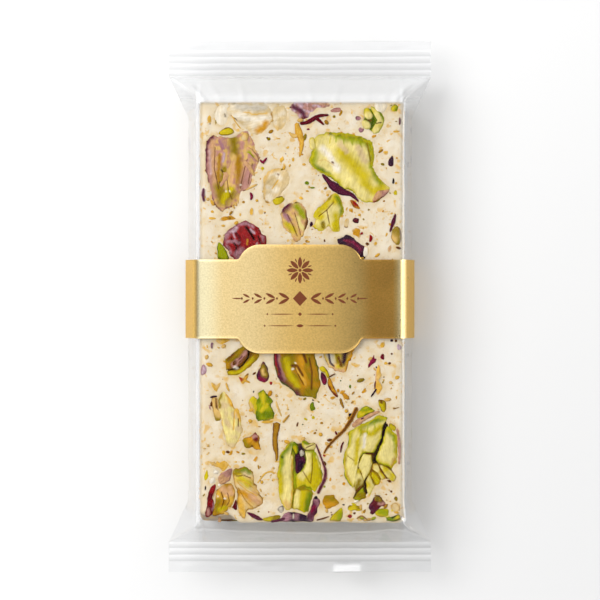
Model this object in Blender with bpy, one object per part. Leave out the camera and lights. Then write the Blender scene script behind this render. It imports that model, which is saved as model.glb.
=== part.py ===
"""Nougat bar sealed in a clear pouch, with a gold card sleeve round its middle.

The pack lies on its back: +X across it, +Y along it to the upper seal, +Z out of its
face. The origin is on the surface it lies on, under its middle. There are two objects:
film_pack, the sealed pouch with the bar in it, and label_band, the sleeve.
"""

import math

import bmesh
import bpy
from mathutils import Vector

MM = 0.001

# Pouch, seal edge to seal edge and across the seals.
LENGTH = 120.0 * MM
SEAL_WIDTH = 59.4 * MM
TUBE_WIDTH = 50.5 * MM

# Bar in the pouch. Its ends are places along Y, because it lies nearer the lower seal.
BAR_WIDTH = 45.9 * MM
BAR_THICKNESS = 12.6 * MM
BAR_UPPER_END = 46.3 * MM
BAR_LOWER_END = -48.5 * MM
BAR_EDGE_RADIUS = 1.8 * MM

# Crimped end seals.
UPPER_SEAL_START = 52.0 * MM
LOWER_SEAL_START = -53.2 * MM
SEAL_THICKNESS = 0.5 * MM
LIP_LENGTH = 1.9 * MM
RIDGE_PITCH = 1.5 * MM
RIDGE_HEIGHT = 0.35 * MM
NECK_LENGTH = 9.5 * MM
NOSE_RADIUS = 1.6 * MM

# Sleeve: a strip of card right round the pouch, with a wider plaque on its face.
BAND_MIDDLE = 1.7 * MM
BAND_WIDTH = 51.8 * MM
STRIP_LENGTH = 17.6 * MM
PLAQUE_LENGTH = 24.3 * MM
PLAQUE_FLAT = 17.8 * MM
SHOULDER_RADIUS = 5.1 * MM
FILLET_RADIUS = 0.8 * MM
CARD_THICKNESS = 0.35 * MM

FILM_THICKNESS = 0.1 * MM
CLEARANCE = 0.3 * MM

# Facets.
ARC_STEPS = 3
SHOULDER_STEPS = 7
RIDGE_STEPS = 4
NECK_STEPS = 7

# Heights that follow from the stack of card, clearance, film and bar.
FILM_LOW = CARD_THICKNESS + CLEARANCE
FILM_HIGH = FILM_LOW + BAR_THICKNESS + 2 * FILM_THICKNESS
SEAL_HEIGHT = (FILM_LOW + FILM_HIGH) / 2
BAND_HIGH = FILM_HIGH + CLEARANCE + CARD_THICKNESS
FLAT_HALF = BAR_WIDTH / 2
DIP_RUN = 3.0 * MM


def mix(start, end, share):
    """The value a share of the way from start to end."""
    return start + (end - start) * share


def clamp(value):
    """The value, kept within 0 and 1."""
    return min(max(value, 0.0), 1.0)


def ease(share):
    """A share from 0 to 1, levelled off at both of its ends."""
    return share * share * (3 - 2 * share)


def rounded_outline(corners):
    """Points, (x, z), round a closed outline whose corners are (x, z, radius)."""
    points = []
    for index, (x, z, radius) in enumerate(corners):
        corner = Vector((x, z))
        before = Vector(corners[index - 1][:2]) - corner
        after = Vector(corners[(index + 1) % len(corners)][:2]) - corner
        reach = radius / math.tan(before.angle(after) / 2)
        start = corner + before.normalized() * min(reach, before.length * 0.45)
        end = corner + after.normalized() * min(reach, after.length * 0.45)
        for step in range(ARC_STEPS + 1):
            along = step / ARC_STEPS
            points.append(start.lerp(corner, along).lerp(corner.lerp(end, along), along))
    return points


def pack_outline(half_width, flat_half, low, high, middle):
    """Section of the pack: flat face and back, with sides that lean out to a nose.

    It is stretched a little, so that the rounded noses reach the half width.
    """
    edge, nose = BAR_EDGE_RADIUS, NOSE_RADIUS
    points = rounded_outline([
        (flat_half, high, edge), (half_width, middle, nose), (flat_half, low, edge),
        (-flat_half, low, edge), (-half_width, middle, nose), (-flat_half, high, edge),
    ])
    stretch = half_width / max(x for x, _ in points)
    return [(x * stretch, z) for x, z in points]


def loft(name, rings, closed):
    """Skins a row of rings of points, and joins its ends if closed, or else caps them."""
    mesh = bmesh.new()
    loops = []
    for ring in rings:
        verts = [mesh.verts.new(point) for point in ring]
        loops.append([mesh.edges.new((a, b)) for a, b in zip(verts, verts[1:] + verts[:1])])
    pairs = list(zip(loops, loops[1:] + loops[:1])) if closed else list(zip(loops, loops[1:]))
    for here, there in pairs:
        bmesh.ops.bridge_loops(mesh, edges=here + there)
    if not closed:
        bmesh.ops.edgeloop_fill(mesh, edges=loops[0])
        bmesh.ops.edgeloop_fill(mesh, edges=loops[-1])
    bmesh.ops.recalc_face_normals(mesh, faces=mesh.faces)
    data = bpy.data.meshes.new(name)
    mesh.to_mesh(data)
    mesh.free()
    data.shade_smooth()
    data.set_sharp_from_angle(angle=math.radians(35))
    piece = bpy.data.objects.new(name, data)
    bpy.context.scene.collection.objects.link(piece)
    return piece


def ridge_count(seal_start):
    """The whole ridges that fit between a seal's start and its flat lip."""
    return int((LENGTH / 2 - abs(seal_start) - LIP_LENGTH) / RIDGE_PITCH)


def crimp_height(into_seal, seal_start):
    """How far the ridges lift the seal, at this distance in from its start."""
    if not 0 < into_seal < ridge_count(seal_start) * RIDGE_PITCH:
        return 0.0
    wave = 1 - math.cos(math.tau * into_seal / RIDGE_PITCH)
    return RIDGE_HEIGHT * wave / 2


def pouch_section(y):
    """Outline of the pouch at a place along Y."""
    seal_start = UPPER_SEAL_START if y > 0 else LOWER_SEAL_START
    bar_end = BAR_UPPER_END if y > 0 else BAR_LOWER_END
    into_neck = abs(seal_start) - abs(y)
    lift = crimp_height(-into_neck, seal_start)
    narrowing = clamp(into_neck / NECK_LENGTH)
    swelling = clamp(into_neck / (abs(seal_start) - abs(bar_end)))
    half_width = mix(SEAL_WIDTH / 2, TUBE_WIDTH / 2, narrowing)
    flat_half = mix(SEAL_WIDTH / 2 - SEAL_THICKNESS, FLAT_HALF, swelling)
    height = 1 - (1 - swelling) ** 1.5
    from_band = abs(y - BAND_MIDDLE) - STRIP_LENGTH / 2 - CLEARANCE
    belly = mix(FILM_LOW, 0.0, ease(clamp(from_band / DIP_RUN)))
    low = mix(SEAL_HEIGHT - SEAL_THICKNESS / 2, belly, height) + lift
    high = mix(SEAL_HEIGHT + SEAL_THICKNESS / 2, FILM_HIGH, height) + lift
    return pack_outline(half_width, flat_half, low, high, SEAL_HEIGHT + lift)


def seal_places(seal_start, sign):
    """Places along Y from a seal's start to the pack's edge, close enough for its ridges."""
    step = RIDGE_PITCH / RIDGE_STEPS
    steps = ridge_count(seal_start) * RIDGE_STEPS
    return [seal_start + sign * step * index for index in range(steps + 1)] + [sign * LENGTH / 2]


def make_film_pack():
    neck = [NECK_LENGTH * step / NECK_STEPS for step in range(1, NECK_STEPS + 1)]
    strip_edge = STRIP_LENGTH / 2 + CLEARANCE
    dip = [BAND_MIDDLE + side * (strip_edge + DIP_RUN * share)
           for side in (-1, 1) for share in (0.0, 0.25, 0.5, 0.75, 1.0)]
    places = seal_places(UPPER_SEAL_START, 1) + seal_places(LOWER_SEAL_START, -1)
    places += [UPPER_SEAL_START - inward for inward in neck]
    places += [LOWER_SEAL_START + inward for inward in neck]
    places += dip + [BAR_UPPER_END, BAR_LOWER_END]
    rings = [[(x, y, z) for x, z in pouch_section(y)] for y in sorted(places)]
    return loft("film_pack", rings, closed=False)


def plaque_shoulder():
    """Points, (x, y), down the plaque's shoulder: y is measured from the band's middle."""
    drop = (PLAQUE_LENGTH - STRIP_LENGTH) / 2
    radii = SHOULDER_RADIUS + FILLET_RADIUS
    turn = math.acos(1 - drop / radii)
    foot = PLAQUE_FLAT / 2 + radii * math.sin(turn)
    points = []
    for step in range(SHOULDER_STEPS + 1):
        angle = turn * step / SHOULDER_STEPS
        points.append((PLAQUE_FLAT / 2 + SHOULDER_RADIUS * math.sin(angle),
                       PLAQUE_LENGTH / 2 - SHOULDER_RADIUS * (1 - math.cos(angle))))
    for step in range(1, ARC_STEPS + 1):
        angle = turn * (1 - step / ARC_STEPS)
        points.append((foot - FILLET_RADIUS * math.sin(angle),
                       STRIP_LENGTH / 2 + FILLET_RADIUS * (1 - math.cos(angle))))
    return points


def make_label_band():
    """The sleeve, as a run of cross-cuts through the card right round the pack."""
    edge = STRIP_LENGTH / 2
    outer_half, flat_half = BAND_WIDTH / 2, FLAT_HALF + CLEARANCE
    outer = pack_outline(outer_half, flat_half + CARD_THICKNESS, 0.0, BAND_HIGH, SEAL_HEIGHT)
    inner = pack_outline(outer_half - CARD_THICKNESS, flat_half, CARD_THICKNESS,
                         BAND_HIGH - CARD_THICKNESS, SEAL_HEIGHT)
    cuts = [(out, into, edge) for out, into in zip(outer, inner)]
    right = plaque_shoulder()
    left = [(-x, y) for x, y in reversed(right)]
    cuts += [((x, BAND_HIGH), (x, BAND_HIGH - CARD_THICKNESS), y) for x, y in left + right]
    rings = []
    for (outer_x, outer_z), (inner_x, inner_z), reach in cuts:
        rings.append([
            (outer_x, BAND_MIDDLE + reach, outer_z), (outer_x, BAND_MIDDLE - reach, outer_z),
            (inner_x, BAND_MIDDLE - reach, inner_z), (inner_x, BAND_MIDDLE + reach, inner_z),
        ])
    return loft("label_band", rings, closed=True)


def finish(piece, colour, roughness, metallic):
    """Gives a piece its own Principled material."""
    material = bpy.data.materials.new(piece.name)
    material.use_nodes = True
    shader = material.node_tree.nodes["Principled BSDF"]
    shader.inputs["Base Color"].default_value = (*colour, 1.0)
    shader.inputs["Roughness"].default_value = roughness
    shader.inputs["Metallic"].default_value = metallic
    piece.data.materials.append(material)


def main():
    for leftover in list(bpy.data.objects):
        bpy.data.objects.remove(leftover, do_unlink=True)
    finish(make_film_pack(), colour=(0.85, 0.76, 0.60), roughness=0.35, metallic=0.0)
    finish(make_label_band(), colour=(0.70, 0.52, 0.22), roughness=0.42, metallic=0.9)


main()
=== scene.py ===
"""Nougat bar with pistachios, almonds, fruit and petals, in a clear pouch with a gold sleeve.

Lengths are in millimetres until a mesh is finished, and then become metres. +X is across
the bar, +Y along it to the upper seal, and +Z out of its face.
"""

import math
import random

import bmesh
import bpy
from bpy.props import FloatProperty, FloatVectorProperty, IntProperty, PointerProperty
from mathutils import Matrix, Vector, geometry, noise


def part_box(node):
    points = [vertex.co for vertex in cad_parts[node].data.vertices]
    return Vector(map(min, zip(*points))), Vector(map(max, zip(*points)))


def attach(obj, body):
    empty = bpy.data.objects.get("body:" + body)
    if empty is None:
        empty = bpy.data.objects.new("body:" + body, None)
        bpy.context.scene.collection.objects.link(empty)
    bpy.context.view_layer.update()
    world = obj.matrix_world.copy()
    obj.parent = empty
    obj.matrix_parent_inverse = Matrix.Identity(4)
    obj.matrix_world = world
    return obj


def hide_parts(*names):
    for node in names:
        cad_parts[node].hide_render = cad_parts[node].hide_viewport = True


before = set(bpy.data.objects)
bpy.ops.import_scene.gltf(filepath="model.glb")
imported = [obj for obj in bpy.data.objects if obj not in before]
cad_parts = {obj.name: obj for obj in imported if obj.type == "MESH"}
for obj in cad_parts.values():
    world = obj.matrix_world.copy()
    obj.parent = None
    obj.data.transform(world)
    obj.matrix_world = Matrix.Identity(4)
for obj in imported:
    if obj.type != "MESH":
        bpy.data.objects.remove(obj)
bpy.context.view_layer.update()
FILM_BOX = [corner * 1000 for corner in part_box("film_pack")]
BAND_BOX = [corner * 1000 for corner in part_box("label_band")]

bl_info = {
    "name": "Nougat bar in a sleeve",
    "version": (1, 0, 0),
    "blender": (4, 5, 0),
    "location": "3D View > Sidebar > Nougat",
    "description": "Makes a nougat bar, its clear pouch, its gold sleeve and a small studio",
    "category": "Object",
}


# ---------------------------------------------------------------- numbers


def mix(start, end, share):
    """The value a share of the way from start to end."""
    return start + (end - start) * share


def clamp(value, low=0.0, high=1.0):
    """The value, kept within its limits."""
    return min(max(value, low), high)


def ease(share):
    """A share from 0 to 1, levelled off at both ends."""
    share = clamp(share)
    return share * share * (3 - 2 * share)


def wander(x, y, size, seed):
    """Smooth noise from about -1 to 1, whose lumps are this size."""
    return noise.noise(Vector((x / size, y / size, seed * 7.31)))


def linear(red, green, blue):
    """Scene colour of a screen colour given in parts of 255."""
    parts = [part / 255 for part in (red, green, blue)]
    return tuple(p / 12.92 if p <= 0.04045 else ((p + 0.055) / 1.055) ** 2.4 for p in parts)


# ---------------------------------------------------------------- settings


def length(name, description, default):
    """A property that holds a length in millimetres."""
    return FloatProperty(name=name, description=description, default=default, min=0.0)


def colour(name, description, *screen):
    """A property that holds a colour."""
    return FloatVectorProperty(
        name=name, description=description, default=linear(*screen),
        size=3, min=0.0, max=1.0, subtype="COLOR")


class NougatBarSettings(bpy.types.PropertyGroup):
    width: length("Width", "Across the bar, in mm", 45.9)
    upper_end: length("Upper end", "From the pack's middle to the bar's upper end, in mm", 46.3)
    lower_end: length("Lower end", "From the pack's middle to the bar's lower end, in mm", 48.5)
    shift: length("Shift", "How far the bar lies to the right in its pouch, in mm", 0.45)
    bottom: length("Bottom", "Height of the bar's underside, in mm", 0.75)
    top: length("Top", "Mean height of the bar's face, in mm", 12.75)
    edge_radius: length("Edge radius", "Rounding of the bar's edges, in mm", 1.2)
    grid: length("Grid", "Distance between the points of the nougat's surface, in mm", 0.45)
    side_bits: IntProperty(
        name="Side bits", description="Nuts and fruit cut open on the sides and back",
        default=150, min=0)
    crumbs: IntProperty(
        name="Crumbs", description="Fine crumbs on the bar's face", default=520, min=0)


class PouchSettings(bpy.types.PropertyGroup):
    tube_width: length("Tube width", "Across the pouch beside the bar, in mm", 50.5)
    upper_seal: length("Upper seal", "From the middle to where the upper seal starts, in mm", 52.0)
    lower_seal: length("Lower seal", "From the middle to where the lower seal starts, in mm", 53.2)
    neck: length("Neck", "Length over which the pouch widens to its seal, in mm", 9.5)
    ridge_pitch: length("Ridge pitch", "From one ridge of the seal to the next, in mm", 1.5)
    ridge_height: length("Ridge height", "How far the ridges stand up, in mm", 0.16)
    lip: length("Lip", "Flat film beyond the last ridge, in mm", 1.9)
    top: length("Top", "Height of the film over the bar, in mm", 13.45)


class SleeveSettings(bpy.types.PropertyGroup):
    middle: length("Middle", "Place of the sleeve's middle along the pack, in mm", 1.7)
    strip: length("Strip", "Length of the strip round the pack, in mm", 17.6)
    plaque: length("Plaque", "Length of the wider plaque on the face, in mm", 24.3)
    plaque_flat: length("Plaque flat", "Straight run at the plaque's top, in mm", 17.8)
    shoulder: length("Shoulder", "Radius of the plaque's shoulders, in mm", 5.1)
    fillet: length("Fillet", "Radius where a shoulder meets the strip, in mm", 0.8)
    card: length("Card", "Thickness of the card, in mm", 0.35)


class Palette(bpy.types.PropertyGroup):
    nougat: colour("Nougat", "Cream of the nougat", 236, 221, 193)
    toasted: colour("Toasted", "Nougat where it is browner", 222, 196, 146)
    ivory: colour("Ivory", "Lumps of egg white and pale glints", 243, 233, 214)
    pale: colour("Pale", "Palest cut pistachio", 236, 219, 140)
    lemon: colour("Lemon", "Pale yellow flesh", 210, 188, 30)
    yellow: colour("Yellow", "Bright yellow-green flesh", 200, 180, 8)
    lime: colour("Lime", "Light green flesh", 154, 160, 8)
    green: colour("Green", "Green flesh near the skin", 112, 130, 4)
    leaf: colour("Leaf", "Darkest green", 66, 84, 4)
    olive: colour("Olive", "Olive flesh", 146, 122, 6)
    bronze: colour("Bronze", "Golden brown flesh", 172, 124, 16)
    umber: colour("Umber", "Brown edges", 104, 58, 12)
    tan: colour("Tan", "Light caramel", 224, 184, 108)
    honey: colour("Honey", "Caramel", 226, 176, 66)
    amber: colour("Amber", "Dark caramel", 208, 148, 28)
    peach: colour("Peach", "Inner side of the skin", 214, 166, 120)
    pink: colour("Pink", "Dry pink skin", 192, 140, 128)
    # Mauve and lilac also paint the dark fruit's highlights.
    mauve: colour("Mauve", "Greyish pink skin", 172, 122, 134)
    lilac: colour("Lilac", "Pale purple skin", 206, 176, 190)
    smoke: colour("Smoke", "Grey papery skin", 206, 196, 178)
    plum: colour("Plum", "Purple skin", 92, 28, 56)
    violet: colour("Violet", "Darkest skin", 48, 16, 44)
    wine: colour("Wine", "Dark red fruit", 104, 10, 24)
    crimson: colour("Crimson", "Red fruit", 156, 24, 26)
    magenta: colour("Magenta", "Petals", 134, 24, 62)
    # Ink is also painted shade down cracks and folds.
    ink: colour("Ink", "Deep cracks", 26, 8, 10)
    gold: colour("Gold", "Sleeve", 243, 203, 121)
    # The painted highlight of the sleeve's gold.
    painted_gold_highlight: colour("Straw", "Palest gold of the sleeve", 255, 243, 200)
    print: colour("Print", "Ornament on the sleeve", 124, 58, 16)
    floor: colour("Floor", "Table top", 232, 232, 232)


class StageSettings(bpy.types.PropertyGroup):
    view_width: length("View width", "Width of the view at the bar's face, in mm", 135.06)
    view_middle: length("View middle", "Place of the view's middle along the pack, in mm", 1.46)
    lens: FloatProperty(name="Lens", description="Focal length", default=150.0, unit="CAMERA")
    key_power: FloatProperty(
        name="Key power", description="Power of the large soft light", default=9.0,
        unit="POWER")
    fill: FloatProperty(
        name="Fill", description="Strength of the light from all round", default=1.0)


# How much darker the paint is than a screen colour, so that it looks right when it is lit.
SHADE = 0.72


def paint(name):
    """The colour of this name from the palette, as dark as a lit surface needs it."""
    return Vector(getattr(bpy.context.scene.nougat_palette, name)) * SHADE


def scene_settings():
    """The settings of the bar, the pouch and the sleeve."""
    scene = bpy.context.scene
    return scene.nougat_bar, scene.nougat_pouch, scene.nougat_sleeve


# ---------------------------------------------------------------- shader maths


class Link:
    """A socket in a node tree. Arithmetic on it adds the Math nodes that work it out."""

    def __init__(self, graph, socket):
        self.graph = graph
        self.socket = socket

    def maths(self, operation, *values):
        return self.graph.node("ShaderNodeMath", {"operation": operation}, values)

    def __add__(self, other):
        return self.maths("ADD", self, other)

    def __sub__(self, other):
        return self.maths("SUBTRACT", self, other)

    def __rsub__(self, other):
        return self.maths("SUBTRACT", other, self)

    def __mul__(self, other):
        return self.maths("MULTIPLY", self, other)

    def __pow__(self, other):
        return self.maths("POWER", self, other)

    __radd__ = __add__
    __rmul__ = __mul__

    def within(self, low, high):
        """0 below low, 1 above high, and smooth between them."""
        return self.graph.node(
            "ShaderNodeMapRange", {"interpolation_type": "SMOOTHSTEP"},
            {"Value": self, "From Min": low, "From Max": high})

    def band(self, start, full, fall, end):
        """1 between full and fall, 0 outside start and end, and smooth between them."""
        return self.within(start, full) * (1.0 - self.within(fall, end))


class Graph:
    """A node tree, and the nodes that are added to it."""

    def __init__(self, tree):
        self.tree = tree

    def join(self, socket, value):
        """Links a socket, or gives it a constant."""
        if isinstance(value, Link):
            self.tree.links.new(value.socket, socket)
        elif hasattr(socket.default_value, "__len__") and len(socket.default_value) == 4:
            socket.default_value = (*value[:3], 1.0)
        else:
            socket.default_value = value

    def node(self, kind, settings=None, inputs=(), output=0):
        """Adds a node. Its settings are set first, and then its sockets."""
        node = self.tree.nodes.new(kind)
        for name, value in (settings or {}).items():
            setattr(node, name, value)
        pairs = inputs.items() if isinstance(inputs, dict) else enumerate(inputs)
        for name, value in pairs:
            self.join(node.inputs[name], value)
        return Link(self, node.outputs[output])


class Finish(Graph):
    """A material, whose nodes make its finish."""

    def __init__(self, name, **constants):
        self.material = bpy.data.materials.new(name)
        self.material.use_nodes = True
        super().__init__(self.material.node_tree)
        self.shader = self.tree.nodes["Principled BSDF"]
        self.set(**constants)

    def set(self, **values):
        """Sets the shader's sockets: base_color=... is the one named Base Color."""
        for name, value in values.items():
            words = name.replace("_", " ").title().replace("Ior", "IOR")
            self.join(self.shader.inputs[words], value)

    def give_out(self, shader):
        """Makes this the shader that the material gives out, in place of the first one."""
        self.tree.nodes.remove(self.shader)
        self.join(self.tree.nodes["Material Output"].inputs["Surface"], shader)

    def blend(self, factor, first, second, kind="MIX"):
        """A colour between two colours."""
        return self.node(
            "ShaderNodeMix", {"data_type": "RGBA", "blend_type": kind},
            {0: factor, 6: first, 7: second}, output=2)

    def place(self, scale=(1.0, 1.0, 1.0)):
        """Object coordinates, scaled."""
        coordinates = self.node("ShaderNodeTexCoord", output=3)
        return self.node(
            "ShaderNodeMapping", {"vector_type": "POINT"},
            {"Vector": coordinates, "Scale": scale})

    def axis(self, index):
        """The place in metres along X, Y or Z, which are 0, 1 and 2."""
        return self.node("ShaderNodeSeparateXYZ", None, [self.place()], output=index)

    def along_grain(self, across, along):
        """Coordinates that follow a piece's own grain, in lumps of these sizes in mm."""
        grain = self.node("ShaderNodeUVMap", {"uv_map": "grain"})
        return self.node(
            "ShaderNodeMapping", {"vector_type": "POINT"},
            {"Vector": grain, "Scale": (1 / along, 1 / across, 1.0)})

    def lumps(self, size=None, vector=None, detail=3.0, roughness=0.55, distortion=0.0):
        """Noise from 0 to 1, in lumps of this size in mm."""
        vector = vector or self.place((1000 / size,) * 3)
        return self.node(
            "ShaderNodeTexNoise", None,
            {"Vector": vector, "Scale": 1.0, "Detail": detail, "Roughness": roughness,
             "Distortion": distortion})

    def bump(self, height, distance, **more):
        """A normal whose bumps are this distance high, in mm."""
        return self.node(
            "ShaderNodeBump", None, {"Distance": distance / 1000, "Height": height, **more})


# ---------------------------------------------------------------- mesh helpers


def finish_piece(name, mesh, finish, nodes=(), sharp=None):
    """Turns a bmesh in millimetres into a piece that rides on the pack."""
    bmesh.ops.scale(mesh, vec=(0.001,) * 3, verts=mesh.verts)
    data = bpy.data.meshes.new(name)
    mesh.to_mesh(data)
    mesh.free()
    data.shade_smooth()
    if sharp is not None:
        data.set_sharp_from_angle(angle=math.radians(sharp))
    data.materials.append(finish.material)
    piece = bpy.data.objects.new(name, data)
    bpy.context.scene.collection.objects.link(piece)
    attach(piece, "root")
    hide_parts(*nodes)
    return piece


def curve_through(points, closed):
    """Points of a smooth curve through these points."""
    count = len(points)
    smooth = []
    for index in range(count if closed else count - 1):
        if closed:
            four = [points[(index + step) % count] for step in (-1, 0, 1, 2)]
        else:
            four = [points[clamp(index + step, 0, count - 1)] for step in (-1, 0, 1, 2)]
        before, start, end, after = four
        for step in range(6):
            t = step / 6
            smooth.append(0.5 * (
                2 * start + (end - before) * t
                + (2 * before - 5 * start + 4 * end - after) * t * t
                + (3 * start - before - 3 * end + after) * t ** 3))
    if not closed:
        smooth.append(points[-1])
    return smooth


def spaced(points, count, closed):
    """The same line as a number of points at even distances."""
    line = points + points[:1] if closed else points
    reach = [0.0]
    for a, b in zip(line, line[1:]):
        reach.append(reach[-1] + (b - a).length)
    even = []
    place = 0
    for index in range(count):
        want = reach[-1] * index / (count if closed else count - 1)
        while place < len(line) - 2 and reach[place + 1] < want:
            place += 1
        step = max(reach[place + 1] - reach[place], 1e-9)
        even.append(line[place].lerp(line[place + 1], clamp((want - reach[place]) / step)))
    return even


def distance_to(point, line):
    """Distance from a point to a line of points."""
    if len(line) == 1:
        return (point - line[0]).length
    nearest = 1e9
    for a, b in zip(line, line[1:]):
        foot, share = geometry.intersect_point_line(point, a, b)
        foot = a if share < 0 else b if share > 1 else foot
        nearest = min(nearest, (point - foot.to_2d()).length)
    return nearest


# ---------------------------------------------------------------- nuts, fruit and petals


def points_of(text):
    """The points in a text such as "1,2 3,4"."""
    return [Vector([float(part) for part in point.split(",")]) for point in text.split()]


def stroke(text):
    """A band of colour, "tone width: points". With a depth after the width, it is a groove."""
    head, line = text.split(":")
    tone, width, *sink = head.split()
    return tone, float(width), points_of(line), float(sink[0]) if sink else 0.0


def chip(outline, flesh, rims=(), strokes="", lift=0.08, crown=0.16, depth=4.0, grain=90,
         sharp=False, wrinkle=0.06, patches=None, patch_size=1.8, grow=0.0):
    """A cut nut or fruit that shows at the surface, with its outline in mm."""
    return {
        "outline": [Vector(point) for point in outline], "flesh": flesh, "rims": rims,
        "strokes": [stroke(band) for band in strokes.split(";") if band.strip()],
        "lift": lift, "crown": crown, "depth": depth, "grain": math.radians(grain),
        "sharp": sharp, "wrinkle": wrinkle, "patches": patches, "patch_size": patch_size,
        "grow": grow,
    }


def cut(flesh, rims, outline, **more):
    """A chip whose rims, "tone width", and outline are given as text."""
    pairs = [rim.split() for rim in rims.split(",") if rim]
    return chip(points_of(outline), flesh, [(tone, float(width)) for tone, width in pairs], **more)


def bit(x, y, long, wide, turn, flesh, rim=None, lift=0.0, **more):
    """A small chip of a simple oval shape that is pointed by chance."""
    turn = math.radians(turn)
    chance = random.Random(round(x * 91 + y * 57))
    outline = []
    for step in range(8):
        angle = math.tau * step / 8
        reach = chance.uniform(0.74, 1.16)
        along = math.cos(angle) * long / 2 * reach
        across = math.sin(angle) * wide / 2 * reach
        outline.append((x + along * math.cos(turn) - across * math.sin(turn),
                        y + along * math.sin(turn) + across * math.cos(turn)))
    soft = "toasted" if flesh in ("honey", "tan", "amber", "peach", "bronze") else flesh
    rims = [(rim or soft, min(wide * 0.16, 0.3))]
    more = {"crown": 0.06, "depth": min(wide, 2.0), "wrinkle": 0.03, **more}
    return chip(outline, flesh, rims, lift=lift, grain=math.degrees(turn), **more)


def ribbon(flesh, points, lift=0.1, edge=None):
    """A strip of skin, a vein or a sliver through points that are "x,y,width"."""
    soft = flesh in ("honey", "tan", "bronze")
    return {"line": points_of(points), "flesh": flesh,
            "lift": lift - 0.06 if soft else lift, "edge": edge or ("tan" if soft else flesh)}


def axes(turn):
    """Unit vectors in the direction of this angle and at right angles to it."""
    along = Vector((math.cos(turn), math.sin(turn)))
    return along, Vector((-along.y, along.x))


# How deep the rim of a chip is set into the nougat, how far pieces stay from the bar's sides
# and ends, and the height of the film over them.
RIM_DEPTH = 0.45
INSET = 0.12
UNDER_FILM = 13.36


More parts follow.
